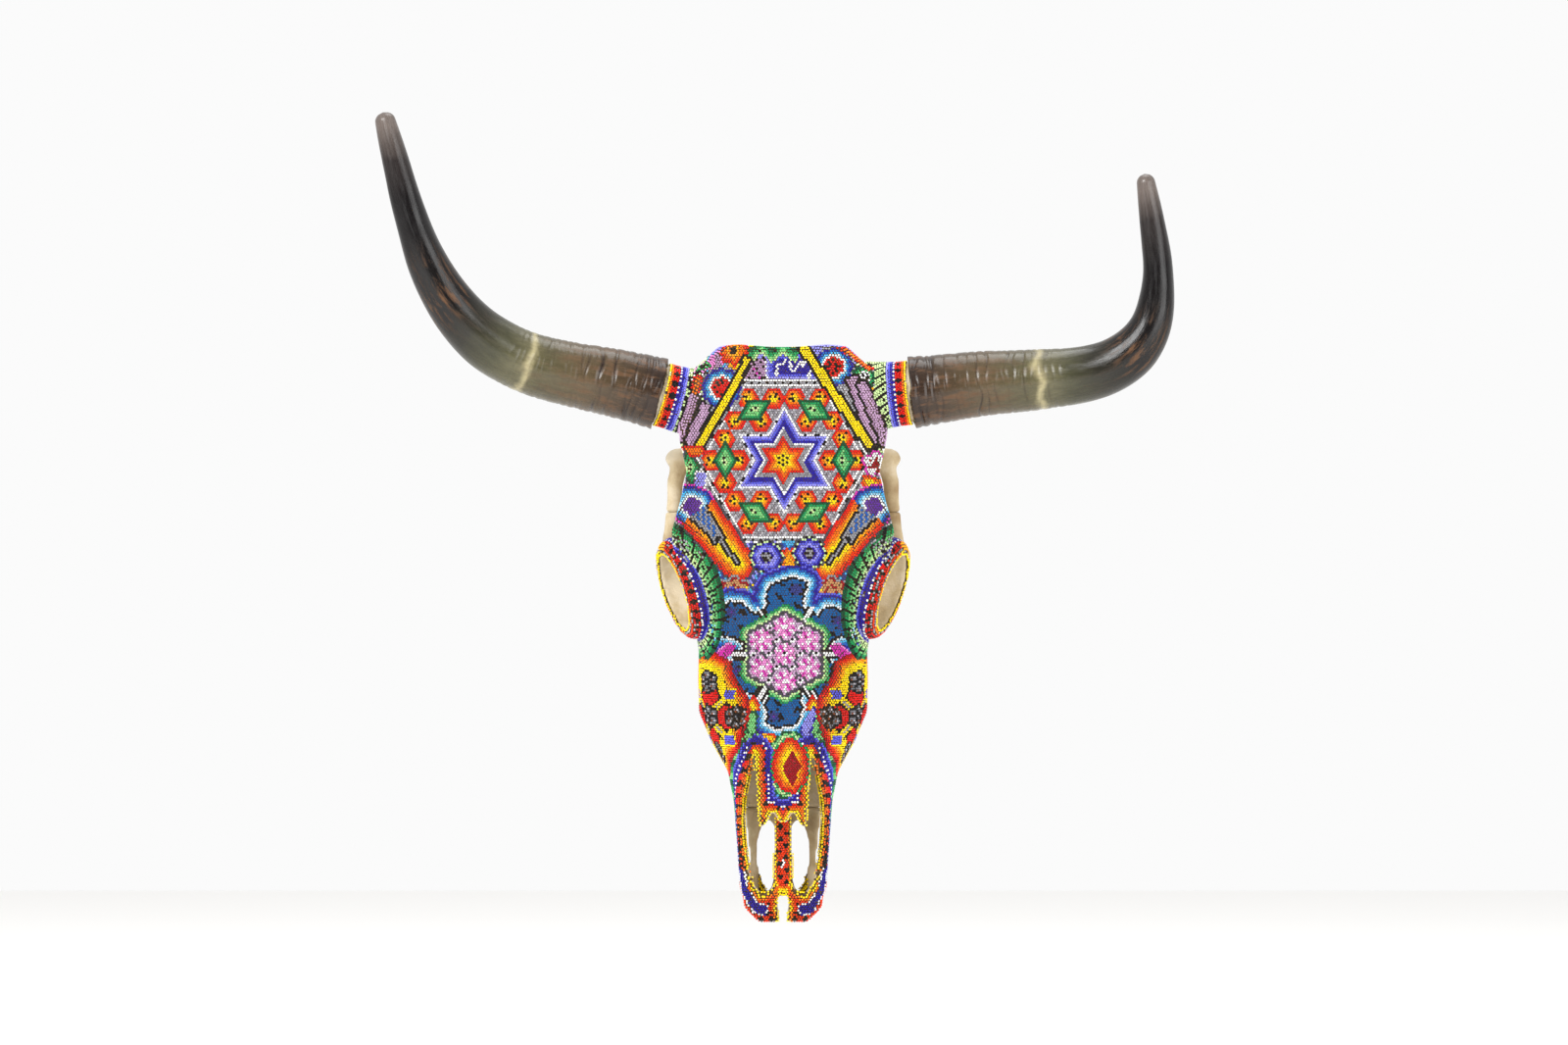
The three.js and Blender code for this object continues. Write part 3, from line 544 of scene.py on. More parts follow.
# The beadwork is planned flat, in millimetres: u runs across the face and down round each cheek, v runs
# up the face and over the poll. Each motif is laid bead by bead from its outline inwards, as it is
# pressed, so that its bands follow its edge.
GLASS = {
    "ink": "#2a1f9a", "periwinkle": "#5f62dc", "lavender": "#9a98ee", "white": "#f4f4f4", "ice": "#a6daf2",
    "sky": "#4fb2e2", "blue": "#2366bd", "petrol": "#1560a0", "indigo": "#3a4488", "scarlet": "#dd1d18",
    "garnet": "#a3121f", "vermilion": "#ea3c12", "orange": "#f7790f", "amber": "#ffae14",
    "yellow": "#ffdf0c", "forest": "#0b5a3a", "green": "#219a58", "leaf": "#7fce80", "lime": "#cfe9a6",
    "mauve": "#b48fb2", "lilac": "#caa6c8", "pink": "#ea8fd0", "magenta": "#d838b0", "purple": "#65349f", "silver": "#9b9ba0", "pearl": "#c2bec4", "pewter": "#8d8991", "grey": "#77777d",
    "slate": "#50505a", "black": "#121214", "brown": "#8a4a2e", "tan": "#cf9a66",
}
shades = list(GLASS)
CHEEK_TURN = [(-460, -72), (-434, -74), (-416, -81), (-388, -93), (-352, -103), (-318, -112)]
POLL_TURN = -148

spot = np.array(seats) / MM
x, y, z = spot.T
hand = np.where(x < 0, -1, 1)
u = x + hand * np.where(np.abs(x) > 24, np.maximum(0, y - np.interp(z, *zip(*CHEEK_TURN))), 0)
v = z + np.where(z > 5, np.maximum(0, y - POLL_TURN), 0)
row = np.round(v / (ROW / MM)).astype(int)
column = np.round(u / (PITCH / MM) - 0.5 * (row % 2)).astype(int)
plan = np.full(len(spot), shades.index("silver"))


def paint(where, shade):
    plan[where] = shades.index(shade)


def nested(size, *bands, within=True):
    """Bands of colour one inside the other, each given as its outer size and its shade."""
    for outer, shade in bands:
        paint((size < outer) & within, shade)


def disc(cu, cv):
    return np.hypot(u - cu, v - cv)


def petalled(cu, cv, count, depth, turn=90):
    """A round flower's measure: its petals stand out by the depth, as a part of its radius."""
    angle = np.arctan2(v - cv, u - cu) - math.radians(turn)
    return disc(cu, cv) / (1 + depth * np.cos(count * angle))


def wedge(cu, cv, turns):
    """How far out a spot is from the middle of a shape with one straight side facing each turn."""
    return np.max([(u - cu) * math.cos(math.radians(t)) + (v - cv) * math.sin(math.radians(t))
                   for t in turns], axis=0)


def hexagon(cu, cv, turn=0):
    """Distance out to the corners of a hexagon with a corner at the turn."""
    return wedge(cu, cv, [turn + 30 + 60 * k for k in range(6)]) / math.cos(math.pi / 6)


def hexagram(cu, cv):
    """Distance out to the points of a six-pointed star with a point at the top."""
    return 2 * np.minimum(wedge(cu, cv, (30, 150, 270)), wedge(cu, cv, (90, 210, 330)))


def lozenge(cu, cv, long, short, turn):
    """A diamond's measure, 1 at its edge, with its long axis along the turn."""
    c, s = math.cos(math.radians(turn)), math.sin(math.radians(turn))
    return abs((u - cu) * c + (v - cv) * s) / long + abs((v - cv) * c - (u - cu) * s) / short


def strip(u0, v0, u1, v1):
    """How far aside of a straight line, and what part of its length along it."""
    length = math.hypot(u1 - u0, v1 - v0)
    cu, cv = (u1 - u0) / length, (v1 - v0) / length
    return (v - v0) * cu - (u - u0) * cv, ((u - u0) * cu + (v - v0) * cv) / length


def outline(*corners):
    """Distance from a closed outline, below zero inside it."""
    nearest_edge = np.full(len(u), 1e9)
    inside = np.zeros(len(u), dtype=bool)
    for (u0, v0), (u1, v1) in zip(corners, corners[1:] + corners[:1]):
        t = ((u - u0) * (u1 - u0) + (v - v0) * (v1 - v0)) / ((u1 - u0) ** 2 + (v1 - v0) ** 2)
        t = np.clip(t, 0, 1)
        nearest_edge = np.minimum(nearest_edge, np.hypot(u - u0 - t * (u1 - u0), v - v0 - t * (v1 - v0)))
        if v0 != v1:
            crosses = ((v0 > v) != (v1 > v)) & (u < u0 + (v - v0) * (u1 - u0) / (v1 - v0))
            inside ^= crosses
    return np.where(inside, -nearest_edge, nearest_edge)


def stroke(points, half, shade, within=True):
    """A painted line of beads through the points."""
    for (u0, v0), (u1, v1) in zip(points, points[1:]):
        off, part = strip(u0, v0, u1, v1)
        far = np.hypot(off, np.maximum(np.maximum(-part, part - 1), 0) * math.hypot(u1 - u0, v1 - v0))
        paint((far < half) & within, shade)


flat_spots = KDTree(len(spot))
for i in range(len(spot)):
    if y[i] < -60 or v[i] > 40:
        flat_spots.insert((u[i], v[i], 0), i)
flat_spots.balance()


def dots(places, shade):
    """Single beads of one shade, each the nearest to its place."""
    for cu, cv in places:
        _, i, distance = flat_spots.find((cu, cv, 0))
        if distance < 1.6:
            plan[i] = shades.index(shade)


def ring_of(count, cu, cv, radius, turn=0):
    return [(cu + radius * math.cos(math.radians(turn + 360 * k / count)),
             cv + radius * math.sin(math.radians(turn + 360 * k / count))) for k in range(count)]


def crosses_on(along, out, middle, spacing, size, within):
    """Little black stars along a band."""
    aside = np.abs((along / spacing + 0.5) % 1 - 0.5) * spacing
    off = np.abs(out - middle)
    star = (aside + off < size) | ((aside < size * 0.45) & (off < size * 0.95))
    paint(star & within, "black")


# Ground: speckled grey on the forehead, darker and greener down the nose.
paint((row + column) % 3 == 0, "pearl")
paint((v < -125) & (np.abs(u) < 60), "indigo")
paint((v < -150) & (np.abs(u) < 60) & ((row + column) % 4 == 0), "sky")
paint((v < -283) & (np.abs(u) > 20), "forest")
paint((v < -283) & (np.abs(u) > 20) & ((row // 3) % 3 == 0), "leaf")
paint((v < -283) & (np.abs(u) > 20) & ((row // 3) % 3 == 1), "green")

# Poll and the back of the crown: rows of diamonds in warm shades on a lavender ground.
over = v > 40
paint(over, "lavender")
for k in range(-4, 5):
    for level in (48, 70, 92):
        cu = 17 * (k + 0.5 * (level == 70))
        ring = lozenge(cu, level, 10.5, 8, 90)
        nested(ring, (1.15, "white"), (1, "ink"), (0.8, "scarlet"), (0.58, "orange"), (0.36, "yellow"),
               within=over)
        dots([(cu, level)], "black")

# Horn stumps' flanks: a pale chequer crossed by black lines.
for sign in (-1, 1):
    flank = (u * sign > 60) & (v > -50)
    slant = (v - 0.32 * u * sign) % 6.6
    paint(flank, "lime")
    paint(flank & ((row + column) % 3 == 0), "white")
    paint(flank & (abs(slant - 4.2) < 1.0) & (column % 3 == 0), "black")
    paint(flank & (slant < 1.7), "black")

# Top of the forehead, left to right: a pink and a small green flower, an orange one over a yellow
# field, black curls on mauve, a deep-blue field with white zigzags under a green wave.
paint((v > 5) & (np.abs(u) < 60), "lavender")
nested(outline((-58, 16), (-49, 22), (-47, 40), (-60, 38), (-66, 20)), (1.2, "sky"), (0, "pink"))
paint((np.abs(u + 54) < 2.4) & (v > 20) & (v < 36), "mauve")
field = outline((-46, 33), (-28, 33), (-27, 24), (-33, 16), (-45, 19))
nested(field, (1, "silver"), (0, "amber"), (-2.4, "yellow"))
nested(petalled(-41, 34, 8, 0.1), (12, "scarlet"), (10.4, "vermilion"), (8.6, "orange"), (5.2, "amber"), (3, "orange"))
dots(ring_of(5, -41, 34, 2.2) + [(-41, 34)], "black")
curls = outline((-26, 24), (-17, 28), (-14, 24), (-16, 10), (-32, 9.5))
nested(curls, (0.8, "black"), (0, "mauve"))
paint((curls < -1.4) & ((column * 2 + row) % 5 < 1), "black")
paint((curls < -1.4) & ((column * 2 + row) % 5 == 3) & (row % 2 == 0), "magenta")
blue_field = outline((-14, 24), (-4, 33), (16, 33), (30, 26), (31, 10), (-13, 10))
nested(blue_field, (1.1, "white"), (0, "lavender"), (-2.2, "periwinkle"), (-5, "ink"))
stroke([(-5.7, 13.5), (-4.9, 21.4), (0.1, 23.9), (3, 26)], 1.15, "white")
stroke([(5, 24.5), (6.8, 20.4), (8.5, 16.6), (11.8, 20.5), (15.2, 24.8), (17, 20.6), (20.2, 25.6), (24, 24.8)], 1.1, "white")
stroke([(25.4, 23), (21.4, 12.2)], 1.15, "white")
wave = v - 31 - 3.4 * np.cos(u / 2.9)
middle_top = (u > -29) & (u < 13) & (v < 52)
for lift, shade in ((-3.2, "lime"), (-1.2, "leaf"), (1.6, "green"), (5.2, "forest"), (9, "yellow")):
    paint(middle_top & (wave > lift), shade)
dots([(-6, 33), (-20, 33)], "black")

# Forehead panel: a six-sided field of grey speckle edged with white and black beads.
panel = outline((-34.4, 9), (34.4, 9), (71.3, -55), (38.5, -124), (-36.9, -124), (-71.3, -55))
nested(panel, (1.2, "white"), (-0.6, "silver"), (-2.4, "white"), (-4.2, "silver"))
speckle = (row + 2 * column) % 3
paint((panel < -4.2) & (speckle == 0), "pearl")
paint((panel < -4.2) & (speckle == 1), "pewter")
paint((panel < -0.6) & (panel > -2.4) & (column % 3 == 0), "black")
paint((panel < 3) & (panel > 1.2) & (np.abs(v + 57) < 68) & (column % 2 == 0), "slate")

# Six green diamonds round the panel, each in four red flowers.
STAR_U, STAR_V = 0.5, -57.2
for k in range(6):
    turn = 60 * k
    out = Vector((math.cos(math.radians(turn)), math.sin(math.radians(turn))))
    aside = Vector((-out.y, out.x))
    middle = Vector((STAR_U, STAR_V)) + out * 49.2
    for radial, tangent in ((11.2, 0), (-11.2, 0), (0, 18.6), (0, -18.6)):
        at = middle + out * radial + aside * tangent
        nested(hexagon(at.x, at.y), (9.4, "scarlet"), (7.7, "vermilion"), (6.3, "orange"), (4.6, "amber"),
               (3.1, "yellow"), within=panel < -2.4)
    green = lozenge(middle.x, middle.y, 17.5, 9.8, turn + 90)
    nested(green, (1, "forest"), (0.78, "green"), (0.52, "leaf"), (0.26, "lime"))
    dots([tuple(middle + aside * 2), tuple(middle - aside * 2)], "black")
    for radial, tangent in ((11.2, 0), (-11.2, 0), (0, 18.6), (0, -18.6)):
        at = middle + out * radial + aside * tangent
        way = (out * radial + aside * tangent).normalized()
        across = Vector((-way.y, way.x))
        dots([tuple(at + way * 1.2), tuple(at + way * 3.6 + across * 2.4), tuple(at + way * 3.6 - across * 2.4),
              tuple(at - way * 1.0 + across * 2.2)], "black")

# The great star.
star = hexagram(STAR_U, STAR_V)
nested(star, (45, "white"), (42, "lavender"), (38.4, "periwinkle"), (34.2, "ink"), (29.6, "white"), (26.8, "silver"))
paint((star < 24.5) & (speckle == 0), "pewter")
nested(star, (21.5, "scarlet"), (18, "vermilion"), (15, "orange"), (11.6, "amber"), (8.2, "yellow"))
dots([(STAR_U, STAR_V)] + ring_of(6, STAR_U, STAR_V, 4.4, 30), "black")
angle = np.arctan2(v - STAR_V, u - STAR_U)
paint((star > 41.8) & (star < 44.5) & ((np.round(star * 2) + np.round(angle * 17)) % 4 == 0), "black")

# Blue-ringed red flowers at the panel's upper corners, and the yellow and mauve bars over them.
for cu, cv, sign in ((-51, 3, -1), (42, 20.6, 1)):
    away = np.where(v > 46, 99, petalled(cu, cv, 12, 0.03))
    nested(away, (17.4, "silver"), (16, "ink"), (14.2, "blue"), (12.4, "sky"), (10.6, "white"), (8.4, "scarlet"))
    blades = np.cos(8 * np.arctan2(v - cv, u - cu)) > 0.45
    paint((away < 6.4) & (away > 2.4) & blades, "black")
nested(petalled(-66, 23, 6, 0.1), (7.4, "pink"), (6, "green"), (4.2, "leaf"))
dots(ring_of(6, -66, 23, 2.6), "black")
nested(petalled(67, 12, 6, 0.08), (11, "silver"), (9.6, "forest"), (7.8, "green"), (6, "leaf"), (4.6, "white"))
dots(ring_of(6, 67, 12, 3) + [(67, 12)], "black")
nested(outline((46, 37), (58, 31), (72, 20), (76, 24), (64, 36), (52, 46)), (1.4, "scarlet"), (0, "vermilion"),
       (-1.6, "orange"), (-3.2, "amber"))
nested(outline((-80, -10), (-72, 13), (-68, 12), (-70, -2), (-76, -12)), (1, "scarlet"), (-1, "orange"))
nested(outline((66, 2), (74, 4), (73, -4)), (1, "amber"), (0, "orange"))
barred = np.zeros(len(spot), dtype=bool)
for u0, v0, u1, v1, half, shade in ((-63.5, -10, -78.5, -44, 3.9, "mauve"), (-72.7, -2, -87, -40, 3.9, "mauve"),
                                    (57, 12, 77, -46, 4.2, "mauve"), (65, 8, 86, -44, 4.2, "mauve"),
                                    (-29, 28, -70, -47, 2.7, "yellow"), (16, 38, 73, -46, 3.3, "yellow")):
    off, part = strip(u0, v0, u1, v1)
    on = (part > 0) & (part < 1)
    paint((np.abs(off) < half + 2.0) & (part > -0.02) & (part < 1.02), "black")
    paint((np.abs(off) < half) & on, shade)
    if shade == "mauve":
        barred |= (np.abs(off) < half + 1.7) & on
        paint((np.abs(off) < half * 0.6) & on, "lilac")

# Temples: a green diamond, a lavender patch and an orange one on the left; a white flower with red
# edging and a yellow patch on the right.
nested(lozenge(-77, -63, 15, 8.5, 97), (1.2, "slate"), (1, "forest"), (0.8, "green"), (0.55, "leaf"), (0.3, "lime"))
dots([(-77, -60), (-76.5, -64), (-78, -68)], "black")
nested(outline((-82, -46), (-68, -46), (-66, -51), (-76, -54)), (1, "scarlet"), (-0.5, "orange"))
nested(outline((-71, -66), (-64, -68), (-66, -80), (-76, -84), (-72, -74)), (1.2, "white"), (0, "lavender"))
nested(petalled(76.5, -60, 5, 0.12), (11, "magenta"), (9, "white"), (3, "garnet"))
blades = np.cos(5 * np.arctan2(v + 60, u - 76.5)) > 0.6
paint((disc(76.5, -60) < 7) & blades, "garnet")
nested(outline((68, -70), (80, -74), (84, -80), (70, -82), (66, -76)), (1.4, "vermilion"), (0, "orange"), (-2, "yellow"))

feathered = np.zeros(len(spot), dtype=bool)
# Two feathers, each with a purple tip ringed in blues, a grey vane stepped to a black quill, and a
# flame round it.
for sign in (-1, 1):
    tip, foot = (76 * sign, -93), (37 * sign, -144)
    off, part = strip(*tip, *foot)
    flame = np.where(part < 0, 99, np.where(part > 1, np.hypot(off, (part - 1) * 64), np.abs(off)))
    nested(flame + 4 * part, (19, "slate"), (17.6, "scarlet"), (15.8, "vermilion"), (13.6, "orange"), (10.8, "amber"),
           (8.6, "yellow"), within=(part > 0.02) & (part < 1.3))
    feathered |= (flame + 4 * part < 18.6) & (part > 0.02) & (part < 1.3)
    vane = np.abs(off) - (7.4 - 5 * np.floor(part * 5) / 4)
    paint((part > 0) & (part < 0.62) & (vane < 1.9), "black")
    paint((part > 0) & (part < 0.6) & (vane < 0), "silver")
    paint((part > 0.12) & (part < 0.5) & (vane < -2) & ((row + column) % 2 == 0), "blue")
    paint((part > 0.55) & (part < 1.0) & (np.abs(off) < 2.9), "black")
    paint((part > 0.6) & (part < 0.98) & (np.abs(off) < 1.1), "silver")
    cap = outline((86 * sign, -82), (66 * sign, -84), (63 * sign, -95), (72 * sign, -104), (82 * sign, -106),
                  (90 * sign, -98))
    head = outline((77 * sign, -87.5), (68 * sign, -91), (70 * sign, -99), (77 * sign, -103.5), (82.5 * sign, -97))
    nested(np.maximum(head, 0), (10.8, "magenta"), (9.2, "ink"), (7.4, "blue"), (5.6, "sky"), (3.8, "ice"),
           (2.2, "white"), (0.1, "purple"), within=(part < 0.13) & (disc(76 * sign, -95) < 24))
    feathered |= (head < 10.8) & (part < 0.13)

# Below the panel: two periwinkle flowers, an orange flame between them, two brown scalloped fans.
below = (np.abs(u) < 44) & (v < -124) & (v > -160) & ~feathered
paint(below & ((row + column) % 3 == 0), "lavender")
nested(outline((-3, -148), (13, -148), (8, -133), (4, -130), (1, -134)), (1.6, "scarlet"), (0.4, "vermilion"),
       (-0.8, "orange"), (-2.6, "amber"))
nested(outline((-1, -125), (10, -125), (5, -130)), (1.2, "blue"), (0, "sky"))
for cu, cv in ((-13.8, -137.8), (21.9, -134.6)):
    nested(petalled(cu, cv, 8, 0.04), (14.6, "slate"), (13.6, "lime"), (12, "ink"), (10.4, "periwinkle"),
           (8.4, "lavender"), (5.6, "ink"), (4.4, "silver"))
    dots([(cu, cv)] + ring_of(6, cu, cv, 3.4), "black")
    dots(ring_of(14, cu, cv, 13.2), "black")
for sign in (-1, 1):
    fan_u, fan_v = 40 * sign, -167
    fan = petalled(fan_u, fan_v, 7, 0.12)
    up = v > fan_v - 1.5
    nested(fan, (13.5, "silver"), (11.6, "garnet"), (9.8, "tan"), (5.4, "garnet"), (3.8, "tan"), within=up)
    dots(ring_of(5, 27 * sign, -166, 5) + [(25 * sign, -171), (28 * sign, -174)], "yellow")

# The face: a ring of petrol-blue lobes about a bunch of pink flowers. Bands of white and blue follow
# the lobes' black outline.
FLOWER_U, FLOWER_V = 1.6, -219
lobes = np.min([
    outline((-13, -192), (-14, -183), (-11, -178), (-13, -171), (-9, -162), (-2, -159.5), (9, -156), (19, -160),
            (16, -167), (15, -177), (18, -186), (15, -194), (1, -206)),
    outline((-15, -187), (-24, -187), (-30, -182), (-34, -178), (-44, -176), (-52, -187), (-52, -202), (-42, -203.5),
            (-35, -206), (-31, -210), (-31, -217), (-10, -215)),
    outline((-31, -220), (-32, -224), (-37, -224.5), (-42, -226), (-45, -232), (-42, -237), (-36, -243), (-31, -250),
            (-24, -251), (-21, -245), (-15, -246.5), (-8, -230)),
    outline((-12, -249), (-11, -255), (-13.5, -262), (-12, -268), (-12.5, -276), (-5, -280), (1, -278), (9, -277),
            (13, -270), (15, -264), (13, -257), (14.5, -249), (1, -236)),
    outline((20, -187), (30, -188), (36, -181), (43, -182), (51, -187), (54, -202), (44, -203.5), (38, -208),
            (34, -216), (12, -215)),
    outline((33, -220), (36, -225), (40, -228), (38, -236), (37, -245), (34, -253), (30, -254), (27, -248),
            (20, -249), (16, -245), (10, -228)),
], axis=0)
centre = disc(FLOWER_U, FLOWER_V)
core = np.minimum(lobes, centre - 30)
near_face = (np.abs(u) < 62) & (v < -146) & (v > -296)
nested(np.maximum(core, 0), (13.2, "periwinkle"), (11.6, "ink"), (9.4, "blue"), (7.2, "sky"), (5.4, "ice"), (3.7, "white"),
       (1.9, "black"), (0.1, "petrol"), within=near_face)
blotch = np.cos(u * 0.42 + 1.3) + np.sin(v * 0.5 + u * 0.21) + 0.6 * np.cos((u + v) * 0.9)
far_out = centre > 38
paint((lobes < -1) & far_out & (blotch > 1.25), "black")
for cu, cv in ((11, -165), (-42, -184), (46, -192), (-39, -233), (38, -247), (-7, -271)):
    nested(petalled(cu, cv, 6, 0.2), (4.4, "indigo"), (1.2, "purple"))
    dots(ring_of(6, cu, cv, 5.4), "black")
for turn in (30, 90, 150, 210, 270, 330):
    ray = strip(FLOWER_U, FLOWER_V, *ring_of(1, FLOWER_U, FLOWER_V, 46, turn + 30)[0])
    gap = (np.abs(ray[0]) < 3.1) & (ray[1] > 0.62) & (ray[1] < 0.95)
    paint(gap & (lobes > -2), "black")
    paint((np.abs(ray[0]) < 1.2) & (ray[1] > 0.66) & (ray[1] < 1), "white")
bunch = [(FLOWER_U, FLOWER_V)] + ring_of(6, FLOWER_U, FLOWER_V, 22.5, 90)
between = ring_of(6, FLOWER_U, FLOWER_V, 13.2, 0) + ring_of(6, FLOWER_U, FLOWER_V, 25.8, 0)
edge = np.min([petalled(cu, cv, 6, 0.06) - 11.8 for cu, cv in bunch]
              + [disc(cu, cv) - 4.6 for cu, cv in between], axis=0)
nested(edge, (6.2, "green"), (4.4, "leaf"), (2.6, "lime"), within=lobes < 0)
nested(edge, (1.0, "slate"), (-1, "grey"))
paint((edge < -1) & (speckle == 0), "pearl")
for cu, cv in bunch:
    away = petalled(cu, cv, 6, 0.08)
    nested(away, (11.6, "slate"), (10.2, "lilac"), (8.6, "pink"), (2.3, "white"))
    arms = np.cos(6 * (np.arctan2(v - cv, u - cu) - math.pi / 2))
    paint((away < 9.6) & (away > 3) & (arms < -0.8), "magenta")
    paint((away < 8.6) & (away > 2) & (arms > 0.72), "white")
dots([(FLOWER_U, FLOWER_V)], "black")
for cu, cv in between:
    nested(disc(cu, cv), (4.6, "slate"), (3.6, "lilac"), (2.5, "white"))
    dots([(cu, cv)], "black")

# Bits between the face and the cheeks.
for sign in (-1, 1):
    wisp = outline((46 * sign, -211), (39 * sign, -212), (43 * sign, -219), (52 * sign, -226), (57 * sign, -221))
    nested(wisp, (1.2, "pink"), (0, "magenta"), within=lobes > 2)
    nested(outline((24 * sign, -256), (21 * sign, -264), (25 * sign, -268), (28 * sign, -260)), (2.2, "scarlet"),
           (0.8, "orange"), (-1, "yellow"))
    nested(outline((22 * sign, -269), (28 * sign, -267), (29 * sign, -284), (23 * sign, -286)), (1.4, "forest"),
           (0, "leaf"))
nested(outline((-17, -286), (-8, -287), (-7, -293), (-16, -290)), (1.4, "vermilion"), (0, "amber"), (-1.4, "yellow"))
nested(outline((15, -280), (25, -264), (27, -268), (20, -290)), (1.2, "ink"), (0, "lavender"))

# Cheeks: a flame-edged field on each, with four red petals and bunches of little grey hexagons.
for sign in (-1, 1):
    hub = (62.5 * sign, -272)
    field = outline((44 * sign, -226), (56 * sign, -219.5), (72 * sign, -219), (92 * sign, -224), (104 * sign, -262),
                    (96 * sign, -296), (82 * sign, -320), (55 * sign, -322), (45 * sign, -312), (37 * sign, -299),
                    (33 * sign, -285), (28.5 * sign, -268), (30.5 * sign, -254), (38 * sign, -245),
                    (42 * sign, -234))
    front = np.abs(u) > 24
    nested(field, (1.6, "garnet"), (0, "scarlet"), (-1.8, "vermilion"), (-3.6, "orange"), (-5.6, "amber"),
           (-8, "yellow"), within=front & (u * sign > 0))
    for turn, far in ((90, 29), (180, 24.5), (270, 31), (0, 31)):
        turn_of = turn if sign > 0 else 180 - turn
        c, n = math.cos(math.radians(turn_of)), math.sin(math.radians(turn_of))
        heart = outline(*[(hub[0] + along * c - aside * n, hub[1] + along * n + aside * c) for along, aside in
                          ((5, -3), (11, -7.5), (18, -9.5), (22, -7), (20, 0), (22, 7), (18, 9.5), (11, 7.5), (5, 3))])
        nested(heart, (1.7, "black"), (0.2, "scarlet"), within=field < -2)
        end = (hub[0] + far * c, hub[1] + far * n)
        for cu, cv in [end] + ring_of(6, *end, 6, 30):
            nested(hexagon(cu, cv, 30), (5, "black"), (3.1, "grey"), within=field < -1)
            dots([(cu + 0.9, cv + 0.6)], "pearl")
            dots([(cu - 1, cv - 0.8)], "brown")
    for turn in (45, 135, 225, 315):
        turn_of = turn if sign > 0 else 180 - turn
        off, part = strip(*hub, *ring_of(1, *hub, 26, turn_of)[0])
        inside = (field < -2) & (part > 0.28)
        paint(inside & (np.abs(off) < 3.9) & (part < 0.86), "black")
        paint(inside & (np.abs(off) < 2.6) & (part < 0.86), "yellow")
        paint(inside & (np.abs(off) < 0.9) & (part < 0.8), "silver")
        head_at = ring_of(1, *hub, 27, turn_of)[0]
        nested(lozenge(*head_at, 6.4, 5.2, turn_of), (1.3, "yellow"), (1, "periwinkle"), within=field < -2)
    for cu, cv in [hub] + ring_of(6, *hub, 6, 30):
        nested(hexagon(cu, cv, 30), (5, "black"), (3.1, "grey"), within=field < -2)
        dots([(cu + 0.9, cv + 0.6)], "pearl")
        dots([(cu - 1, cv - 0.8)], "brown")

# Nose: a red diamond in a flame, ringed with pale green.
gem = outline((8, -289), (18.5, -299), (21, -316), (18, -327), (9.5, -336.5), (1, -334), (-7, -326), (-9.5, -313),
              (-7, -300), (2, -290))
nested(gem, (6.2, "forest"), (4.6, "leaf"), (2.8, "lime"), (1.2, "green"), (0, "scarlet"), (-1.8, "vermilion"),
       (-3.6, "orange"), (-5.8, "amber"), (-8, "yellow"), within=np.abs(u - 6) < 21)
nested(lozenge(7.5, -313.5, 15.5, 8.2, 90), (1, "garnet"))

# Trim of the nose opening and the muzzle: bands that follow its edges.
NOSE_EDGE = [(22, -301), (29.5, -323), (33, -341), (34.2, -358), (33, -380), (29.6, -401), (24.5, -416), (17.5, -424),
             (11.5, -420.5), (6.8, -408), (6.8, -364), (3, -360), (6.5, -353), (10.5, -352), (15, -364), (17.5, -369),
             (19, -360), (21, -334), (22, -306)]
NOTCH_EDGE = [(2, -421), (4.5, -427), (5.2, -434), (3.6, -442), (3.2, -460), (-3.2, -460), (-3.6, -442), (-5.2, -434),
              (-4.5, -427), (-2, -421)]
EDGE_ROUNDING = np.where((np.abs(u) > 26) & (v > -405), 2.6, 0.3)  # how far over the edge the beads go
opening = np.minimum(outline(*NOSE_EDGE), outline(*[(-cu, cv) for cu, cv in NOSE_EDGE]))
notch = outline(*NOTCH_EDGE)
lip = np.maximum(np.where(v < -395, np.minimum(opening, notch), opening) + EDGE_ROUNDING, 0)
reach = np.where((np.abs(u) < 21) & (v > -380), 7.4, 8.6)
round_nose = (v < -286) & (np.abs(u) < 48) & (gem > 1.2)
nested(lip - reach, (6.4, "periwinkle"), (4.6, "ink"), (2.4, "white"), (0.8, "ink"), (0, "scarlet"),
       within=round_nose & (lip < reach + 6.4) & (v > -412))
along_nose = v + 0.6 * u * hand
paint(round_nose & (v > -412) & (np.abs(lip - reach - 1.6) < 0.9) & (row % 2 == 0), "ink")
nested(lip, (6.4, "vermilion"), (4.8, "orange"), (2.9, "yellow"), within=round_nose)
crosses_on(along_nose, lip, 7.2, 9.6, 2.5, round_nose & (lip < reach) & (lip > 4.6))
muzzle = v < -412
rail = round_nose & (np.abs(u) > 26) & (v < -322)
crosses_on(along_nose, lip, 6.4, 8.8, 2.6, rail & (lip < reach))
paint(muzzle & (lip > 5.8), "vermilion")
side_patch = outline((14, -433), (15, -440), (24, -437), (33, -420), (34.5, -402), (32.5, -402), (30, -418), (22, -430))
side_patch = np.minimum(side_patch, outline((-14, -433), (-15, -440), (-24, -437), (-33, -420), (-34.5, -402),
                                            (-32.5, -402), (-30, -418), (-22, -430)))
nested(side_patch, (1.6, "white"), (0.3, "ink"))
crosses_on(along_nose, lip, 9, 8, 2.4, muzzle & (side_patch > 1.6) & (lip > 6))
crosses_on(along_nose + 4, -v - 0.02 * u ** 2, 436, 9, 2.4, muzzle & (side_patch > 1.6) & (lip > 6))
bar = (np.abs(x) < 9) & (z < -350) & (z > -416) & (y > -118)
nested(np.abs(x), (9, "yellow"), (5.4, "orange"), (4.2, "vermilion"), within=bar)
crosses_on(z + 2.2, x + 2.4, 0, 10.4, 2.3, bar)
crosses_on(z - 3, x - 2.4, 0, 10.4, 2.3, bar)
dots([(0, -394), (0, -396), (0, -398), (0, -400)], "white")
